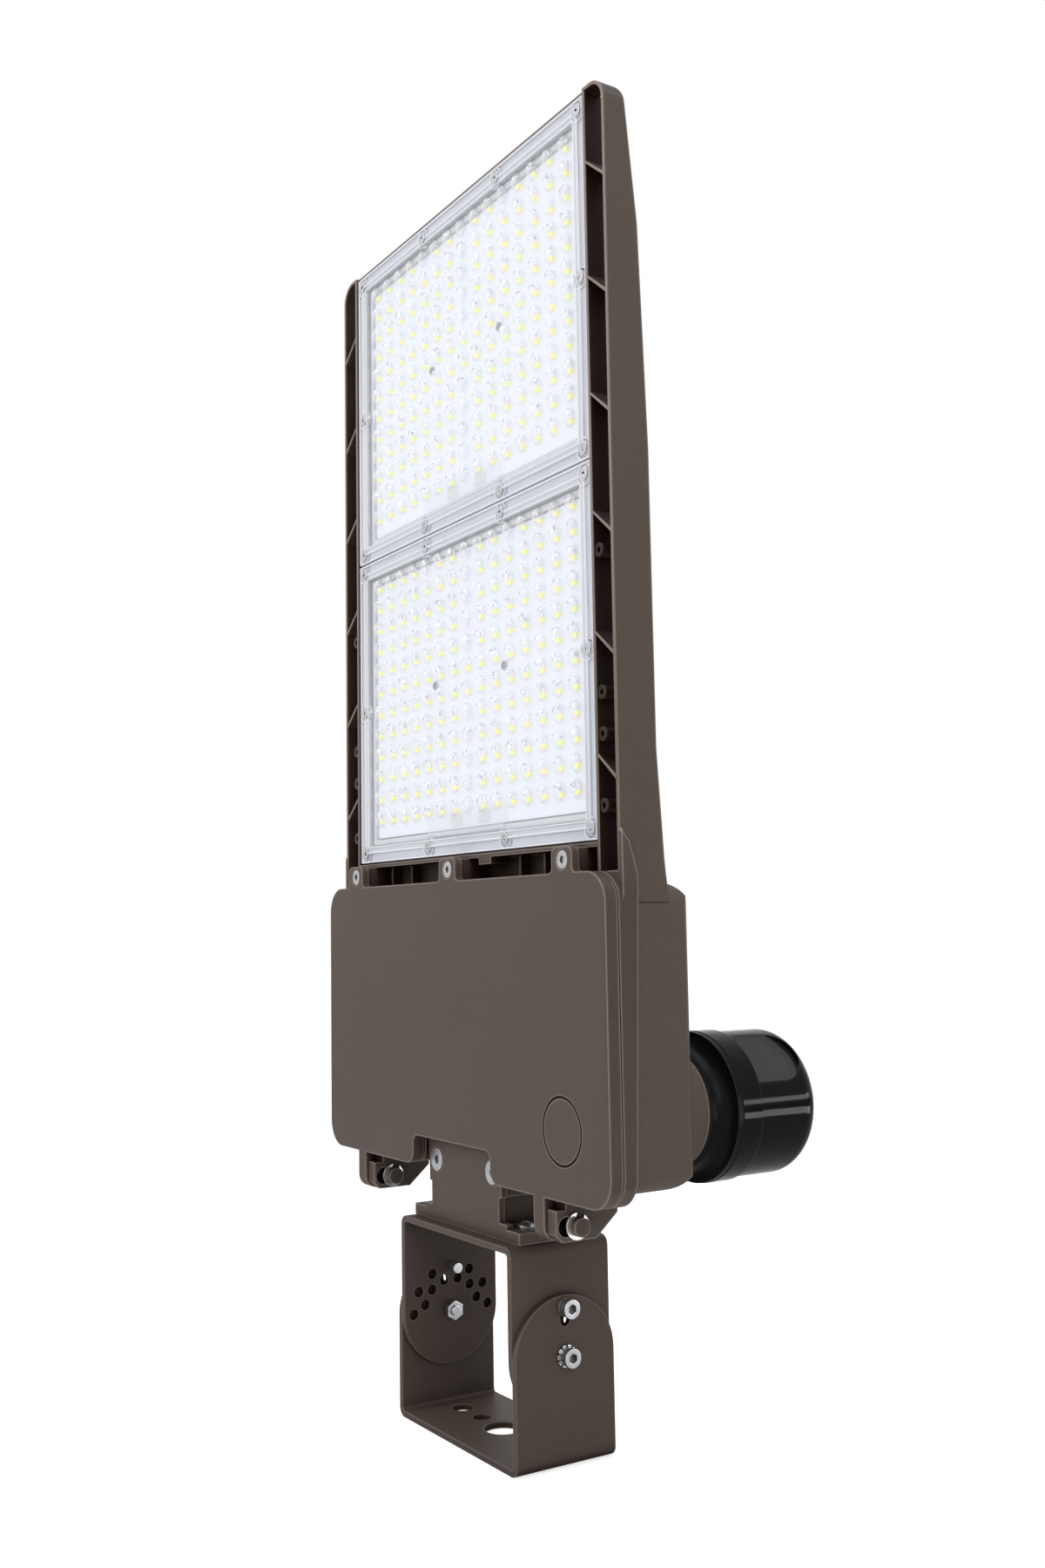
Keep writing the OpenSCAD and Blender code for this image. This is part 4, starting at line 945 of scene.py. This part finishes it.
def optic_domes(centre, field_y, pitch, first, sizes):
    """One oval dome, repeated over the grid of chips."""
    dome = new_piece(
        "optic_domes",
        bpy.ops.mesh.primitive_uv_sphere_add,
        segments=14,
        ring_count=8,
        radius=1.0,
        location=(0.0, 0.0, 0.0),
        rotation=(math.pi / 2, 0.0, 0.0),
    )
    settle(dome)
    edit(dome)
    bpy.ops.mesh.bisect(plane_co=(0, 0, 0), plane_no=(0, 1, 0), clear_outer=True)
    bpy.ops.mesh.select_all(action="SELECT")
    half = (sizes.dome_w / 2, sizes.dome_out, sizes.dome_h / 2)
    bpy.ops.transform.resize(value=half, center_override=(0.0, 0.0, 0.0))
    pick_vertices(dome, lambda at: at.z > 0.1 * MM)
    bpy.ops.transform.resize(value=DOME_SHOULDER, center_override=(0.0, 0.0, 0.0))
    bpy.ops.mesh.select_all(action="SELECT")
    start = (centre.x - (sizes.columns - 1) / 2 * pitch[0], field_y, first + sizes.dome_up)
    bpy.ops.transform.translate(value=start)
    bpy.ops.object.mode_set(mode="OBJECT")
    repeat(dome, sizes.columns, (pitch[0], 0.0, 0.0))
    repeat(dome, sizes.rows, (0.0, 0.0, -pitch[1]))
    return dome


def screw_boss(place, field_y, sizes, screw_y):
    """A stepped round boss with a sunk seat for its screw."""
    boss = new_piece(
        "lens_boss",
        bpy.ops.mesh.primitive_cylinder_add,
        vertices=28,
        radius=sizes.skirt / 2,
        depth=BOSS_DEPTH,
        location=(place.x, field_y + BOSS_BACK - BOSS_DEPTH / 2, place.z),
        rotation=(math.pi / 2, 0.0, 0.0),
    )
    settle(boss)
    edit(boss)
    pick_faces(boss, lambda at, normal: normal.y < -0.9)
    foot = (sizes.skirt - sizes.boss_d) / 2
    rings = (
        (0.3 * MM, -0.3 * MM),  # rounded rim
        (0.6 * MM, 0.0),
        (0.25 * MM, -BOSS_GROOVE),
        (foot - 1.4 * MM, 0.0),  # ring groove
        (0.25 * MM, BOSS_GROOVE),
        (0.8 * MM, 0.0),  # collar
        (0.3 * MM, screw_y - field_y + BOSS_CREST),  # down to the screw
    )
    for width, depth in rings:
        bpy.ops.mesh.inset(thickness=width, depth=depth)
    bpy.ops.mesh.delete(type="FACE")
    pick_faces(boss, lambda at, normal: normal.y > 0.9)
    bpy.ops.mesh.delete(type="FACE")
    bpy.ops.object.mode_set(mode="OBJECT")
    return boss


def plug_pocket(centre, half, field_y):
    """The raised pocket over the plugs at the foot of a lens."""
    foot = Vector((centre.x, field_y, centre.z - half.z))
    pocket = new_piece(
        "plug_pocket",
        bpy.ops.mesh.primitive_plane_add,
        size=1.0,
        location=foot + Vector(PLUG_POCKET_AT),
        rotation=(math.pi / 2, 0.0, 0.0),
    )
    pocket.scale = PLUG_POCKET_SIZE
    settle(pocket)
    edit(pocket)
    rise = (0.0, -PLUG_POCKET_RISE, 0.0)
    bpy.ops.mesh.extrude_region_move(TRANSFORM_OT_translate={"value": rise})
    bpy.ops.transform.resize(value=(0.985, 1.0, 0.92))
    pick_faces(pocket, lambda at, normal: normal.y > 0.9)
    bpy.ops.mesh.delete(type="FACE")
    bpy.ops.object.mode_set(mode="OBJECT")
    round_edges(pocket, 0.6 * MM, 3, 30.0)
    return pocket


def screw_places(node):
    """Middles of the lens screws that belong to one lens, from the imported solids."""
    centre, half = middle_and_half(node)
    spots = []
    for vertex in NODES["lens_screws"].data.vertices:
        at = Vector((vertex.co.x, 0.0, vertex.co.z))
        if abs(at.z - centre.z) > half.z:
            continue
        for spot in spots:
            if (at - spot[0] / spot[1]).length < SAME_SCREW:
                spot[0] += at
                spot[1] += 1
                break
        else:
            spots.append([at, 1])
    return [total / count for total, count in spots]


class AREALIGHT_OT_lenses(bpy.types.Operator):
    """Model the two moulded lens sheets with their optics, ribs and screw bosses"""

    bl_idname = "area_light.lenses"
    bl_label = "Lenses"

    def execute(self, context):
        sizes = context.scene.area_light_lens
        colours = context.scene.area_light_colours
        screw_low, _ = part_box("lens_screws")
        for name in ("upper", "lower"):
            node = "lens_" + name
            pitch, first = chip_pitch("chips_" + name)
            centre, half = middle_and_half(node)
            sheet = lens_sheet(node)
            field_y = -sizes.field_back
            domes = optic_domes(centre, field_y, pitch, first, sizes)
            places = screw_places(node)
            boss = screw_boss(places[0], field_y, sizes, screw_low.y)
            others = spread(boss, [place - places[0] for place in places[1:]])
            pocket = plug_pocket(centre, half, field_y)
            sheet = join(sheet, [domes, boss, pocket, *others])
            smooth(sheet, 40.0)
            finish = clear_lens(
                node + "_clear",
                colours.lens,
                colours.lens_shadow,
                centre,
                half,
                pitch,
                first,
                sizes,
            )
            give(sheet, "head", "lens_clear", finish, node)
        return {"FINISHED"}


def blank_place(at, centre, pitch, first, sizes):
    """Whether a place on the grid holds no chip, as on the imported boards."""
    column = round((at.x - centre.x) / pitch[0])
    row = round((first - at.z) / pitch[1])
    if column == 0:
        return abs(row - (sizes.rows - 1) / 2) > 1
    return row == 0 and abs(column) == 3


class AREALIGHT_OT_chips(bpy.types.Operator):
    """Model the yellow phosphor spots of both boards"""

    bl_idname = "area_light.chips"
    bl_label = "Chips"

    def execute(self, context):
        sizes = context.scene.area_light_lens
        colours = context.scene.area_light_colours
        finish = phosphor("chip_yellow", colours.chip, 0.35)
        for name in ("upper", "lower"):
            node = "chips_" + name
            low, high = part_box(node)
            pitch, first = chip_pitch(node)
            centre = (low + high) / 2
            spot = new_piece(
                "phosphor_" + name,
                bpy.ops.mesh.primitive_cylinder_add,
                vertices=12,
                radius=0.5,
                depth=high.y + sizes.field_back - 0.2 * MM,
                rotation=(math.pi / 2, 0.0, 0.0),
            )
            spot.scale = (sizes.chip_w, sizes.chip_h, 1.0)
            settle(spot)
            left = centre.x - (sizes.columns - 1) / 2 * pitch[0]
            spot.location = (left, (high.y - sizes.field_back) / 2, first)
            settle(spot)
            edit(spot)
            pick_faces(spot, lambda at, normal: normal.y < -0.9)
            bpy.ops.mesh.inset(thickness=0.5 * MM, depth=0.12 * MM)
            bpy.ops.object.mode_set(mode="OBJECT")
            repeat(spot, sizes.columns, (pitch[0], 0.0, 0.0))
            repeat(spot, sizes.rows, (0.0, 0.0, -pitch[1]))
            edit(spot, "VERT", "DESELECT")
            pick_vertices(spot, lambda at: blank_place(at, centre, pitch, first, sizes))
            bpy.ops.mesh.delete(type="VERT")
            bpy.ops.object.mode_set(mode="OBJECT")
            smooth(spot, 50.0)
            give(spot, "head", "chip_yellow", finish, node)
        return {"FINISHED"}


# ---------------------------------------------------------------- finishes on solids


STEEL_NODES = (
    "tilt_bolts",
    "tilt_washers",
    "tilt_nuts",
    "lock_screws",
    "lock_washers",
    "lock_studs",
    "arm_screws",
    "saddle_screws",
    "saddle_nuts",
    "lens_screws",
    "board_screws",
    "cover_screws",
    "driver_screws",
    "receptacle_screws",
)


class AREALIGHT_OT_coats(bpy.types.Operator):
    """Give every carried-over solid its finish"""

    bl_idname = "area_light.coats"
    bl_label = "Finishes"

    def execute(self, context):
        colours = context.scene.area_light_colours
        cast = (colours.bronze, colours.bronze_highlight, colours.pocket)
        sheet = (colours.bracket, colours.bracket_highlight, colours.pocket)
        coat(powder_coat("bronze", *cast), "mounting_arm", "hinge_pins")
        lid = powder_coat("cover_bronze", *cast, pockets=knockout_groove_shade, side_shade=cover_side_shade)
        coat(lid, "driver_cover")
        head = powder_coat(
            "cast_bronze", *cast, pockets=head_pocket_shade, rims=head_rim_highlights, side_shade=head_side_shade
        )
        coat(head, "housing")
        coat(powder_coat("bracket_bronze", *sheet), "lower_bracket", "upper_bracket")
        coat(bright_steel("steel", colours.steel), *STEEL_NODES)
        coat(bright_steel("ring_steel", (0.86, 0.87, 0.88), 0.2), "retaining_rings")
        for name in ("upper", "lower"):
            pitch, _ = chip_pitch("chips_" + name)
            node = "light_board_" + name
            centre, _ = middle_and_half(node)
            coat(board_finish("board_white_" + name, colours.board, centre, pitch), node)
        coat(plain_moulding("plug_white", (0.8, 0.8, 0.78), 0.4), "board_connectors")
        rubber = plain_moulding("seal_black", (0.02, 0.02, 0.02), 0.6)
        coat(rubber, "cover_seal", "receptacle_seal")
        silicone = plain_moulding("seal_white", (0.7, 0.72, 0.74), 0.5)
        coat(silicone, "lens_seal_upper", "lens_seal_lower")
        coat(sheet_metal("driver_metal", (0.7, 0.71, 0.72)), "driver_upper", "driver_lower")
        coat(plain_moulding("surge_red", (0.42, 0.05, 0.04), 0.4), "surge_protector")
        coat(plain_moulding("block_ivory", (0.75, 0.72, 0.6), 0.4), "terminal_block")
        satin = black_moulding("receptacle_black", colours.black, 0.3, 0.4, 0.0008)
        coat(satin, "receptacle")
        gloss = black_moulding("cell_black", colours.black, 0.04, 0.1, 0.0005)
        coat(gloss, "photocell_base", "photocell_cap")
        coat(bright_steel("prong_brass", (0.75, 0.55, 0.2)), "photocell_prongs")
        coat(smoked_pane("cell_window", (0.02, 0.02, 0.022)), "photocell_window")
        coat(clear_bulb("sensor_clear", (0.9, 0.92, 0.95)), "photocell_sensor")
        coat(green_board("cell_board_green", (0.04, 0.24, 0.1)), "photocell_board")
        return {"FINISHED"}


# ---------------------------------------------------------------- stage


class AREALIGHT_OT_stage(bpy.types.Operator):
    """Set up the floor, the soft lights and the camera"""

    bl_idname = "area_light.stage"
    bl_label = "Studio"

    def execute(self, context):
        stage = context.scene.area_light_stage
        self.floor(stage)
        self.room(stage)
        key_aim = (0.0, 0.0, 0.42)
        self.softbox("key_light", (-0.5, -2.2, 1.5), key_aim, (1.8, 1.8), stage.key)
        self.softbox("top_light", (0.3, 0.2, 2.2), (0.0, 0.0, 0.3), (1.6, 1.6), stage.top)
        self.strip("strip_high", (0.888, 0.75, 0.285), (0.9, 0.09, 1.0), stage.strip)
        self.strip("strip_low", (0.73, 0.62, 0.03), (0.8, 0.15, 1.0), stage.strip)
        side_aim = (0.0, 0.0, 0.45)
        self.softbox("side_light", (2.3, -0.4, 1.5), side_aim, (1.0, 1.4), stage.side)
        self.camera()
        context.scene.view_settings.view_transform = "Standard"
        return {"FINISHED"}

    def floor(self, stage):
        """The white floor, which keeps the light's shadow."""
        floor = new_piece(
            "floor",
            bpy.ops.mesh.primitive_grid_add,
            x_subdivisions=4,
            y_subdivisions=4,
            size=stage.floor_size,
            location=(0.0, 0.0, -0.0002),
        )
        settle(floor)
        f = Finish("floor_white")
        seen = f.node("ShaderNodeLightPath", out="Is Camera Ray")
        f.surface(
            Base_Color=f.blend(f.noise(3.0, 1.0), (0.82, 0.82, 0.82), (0.84, 0.84, 0.84)),
            Roughness=0.8,
            Specular_IOR_Level=0.0,
            Emission_Color=f.blend(seen * 0.64, (0.0, 0.0, 0.0), WHITE),
            Emission_Strength=1.0,
        )
        floor.data.materials.append(f.block)

    def room(self, stage):
        """A room that is white to look at and lights the object evenly."""
        f = Finish("room", "worlds")
        bpy.context.scene.world = f.block
        rays = ("Is Camera Ray", "Is Transmission Ray", "Is Glossy Ray")
        camera, through, glossy = (f.node("ShaderNodeLightPath", out=ray) for ray in rays)
        even, white = (
            f.node("ShaderNodeBackground", inputs={"Color": WHITE, "Strength": strength})
            for strength in (stage.ambient, 1.0)
        )
        seen = camera.larger(through).larger(glossy)
        either = f.node("ShaderNodeMixShader", inputs={0: seen, 1: even, 2: white})
        f.node("ShaderNodeOutputWorld", inputs={"Surface": either})

    def softbox(self, name, place, aim, size, power):
        """A soft rectangular lamp that isn't seen itself."""
        lamp = bpy.data.lights.new(name, "AREA")
        lamp.shape = "RECTANGLE"
        lamp.size, lamp.size_y = size
        lamp.energy = power
        holder = bpy.data.objects.new(name, lamp)
        bpy.context.scene.collection.objects.link(holder)
        holder.location = place
        holder.rotation_euler = (Vector(aim) - Vector(place)).to_track_quat("-Z", "Y").to_euler()
        holder.visible_camera = False

    def strip(self, name, place, size, strength):
        """A narrow panel that only shows in reflections, facing the photocell."""
        panel = new_piece(name, bpy.ops.mesh.primitive_plane_add, size=1.0)
        panel.scale = size
        aim = Vector(PHOTOCELL_MIDDLE) - Vector(place)
        panel.rotation_euler = aim.to_track_quat("-Z", "Y").to_euler()
        panel.location = place
        settle(panel)
        f = Finish(name + "_glow")
        seen = f.node("ShaderNodeLightPath", out="Is Glossy Ray")
        hidden = f.node("ShaderNodeBsdfTransparent")
        glow = f.node("ShaderNodeEmission", inputs={"Strength": strength})
        either = f.node("ShaderNodeMixShader", inputs={0: seen, 1: hidden, 2: glow})
        f.node("ShaderNodeOutputMaterial", inputs={"Surface": either})
        panel.data.materials.append(f.block)

    def camera(self):
        """The camera at the photograph's viewing angle."""
        turn, pitch, roll = (math.radians(angle) for angle in CAMERA_ANGLES)
        flat = Vector((-math.sin(turn), math.cos(turn), 0.0))
        ahead = math.cos(pitch) * flat + math.sin(pitch) * Vector((0.0, 0.0, 1.0))
        level = ahead.cross(Vector((0.0, 0.0, 1.0))).normalized()
        upright = level.cross(ahead)
        right = math.cos(roll) * level + math.sin(roll) * upright
        up = math.cos(roll) * upright - math.sin(roll) * level
        lens = bpy.data.cameras.new("camera")
        lens.sensor_fit = "AUTO"
        lens.sensor_width = 36.0
        lens.lens = CAMERA_LENS
        lens.clip_start = 0.01
        lens.clip_end = 100.0
        holder = bpy.data.objects.new("camera", lens)
        bpy.context.scene.collection.objects.link(holder)
        turned = Matrix((right, up, -ahead)).transposed().to_4x4()
        holder.matrix_world = Matrix.Translation(CAMERA_PLACE) @ turned
        bpy.context.scene.camera = holder


class AREALIGHT_PT_panel(bpy.types.Panel):
    """Sizes, colours and steps of the area light"""

    bl_idname = "AREALIGHT_PT_panel"
    bl_label = "Area light"
    bl_space_type = "VIEW_3D"
    bl_region_type = "UI"
    bl_category = "Area light"

    def draw(self, context):
        scene = context.scene
        for group in (scene.area_light_lens, scene.area_light_colours, scene.area_light_stage):
            box = self.layout.box()
            for name in group.__annotations__:
                box.prop(group, name)
        for step in STEPS:
            self.layout.operator(step.bl_idname)


GROUPS = (
    ("area_light_lens", AreaLightLensSizes),
    ("area_light_colours", AreaLightColours),
    ("area_light_stage", AreaLightStage),
)
STEPS = (AREALIGHT_OT_coats, AREALIGHT_OT_chips, AREALIGHT_OT_lenses, AREALIGHT_OT_stage)


def register():
    for name, group in GROUPS:
        bpy.utils.register_class(group)
        setattr(bpy.types.Scene, name, PointerProperty(type=group))
    for step in STEPS:
        bpy.utils.register_class(step)
    bpy.utils.register_class(AREALIGHT_PT_panel)


def unregister():
    bpy.utils.unregister_class(AREALIGHT_PT_panel)
    for step in reversed(STEPS):
        bpy.utils.unregister_class(step)
    for name, group in reversed(GROUPS):
        delattr(bpy.types.Scene, name)
        bpy.utils.unregister_class(group)


def main():
    register()
    bpy.ops.area_light.coats()
    bpy.ops.area_light.chips()
    bpy.ops.area_light.lenses()
    bpy.ops.area_light.stage()


if __name__ == "__main__":
    main()
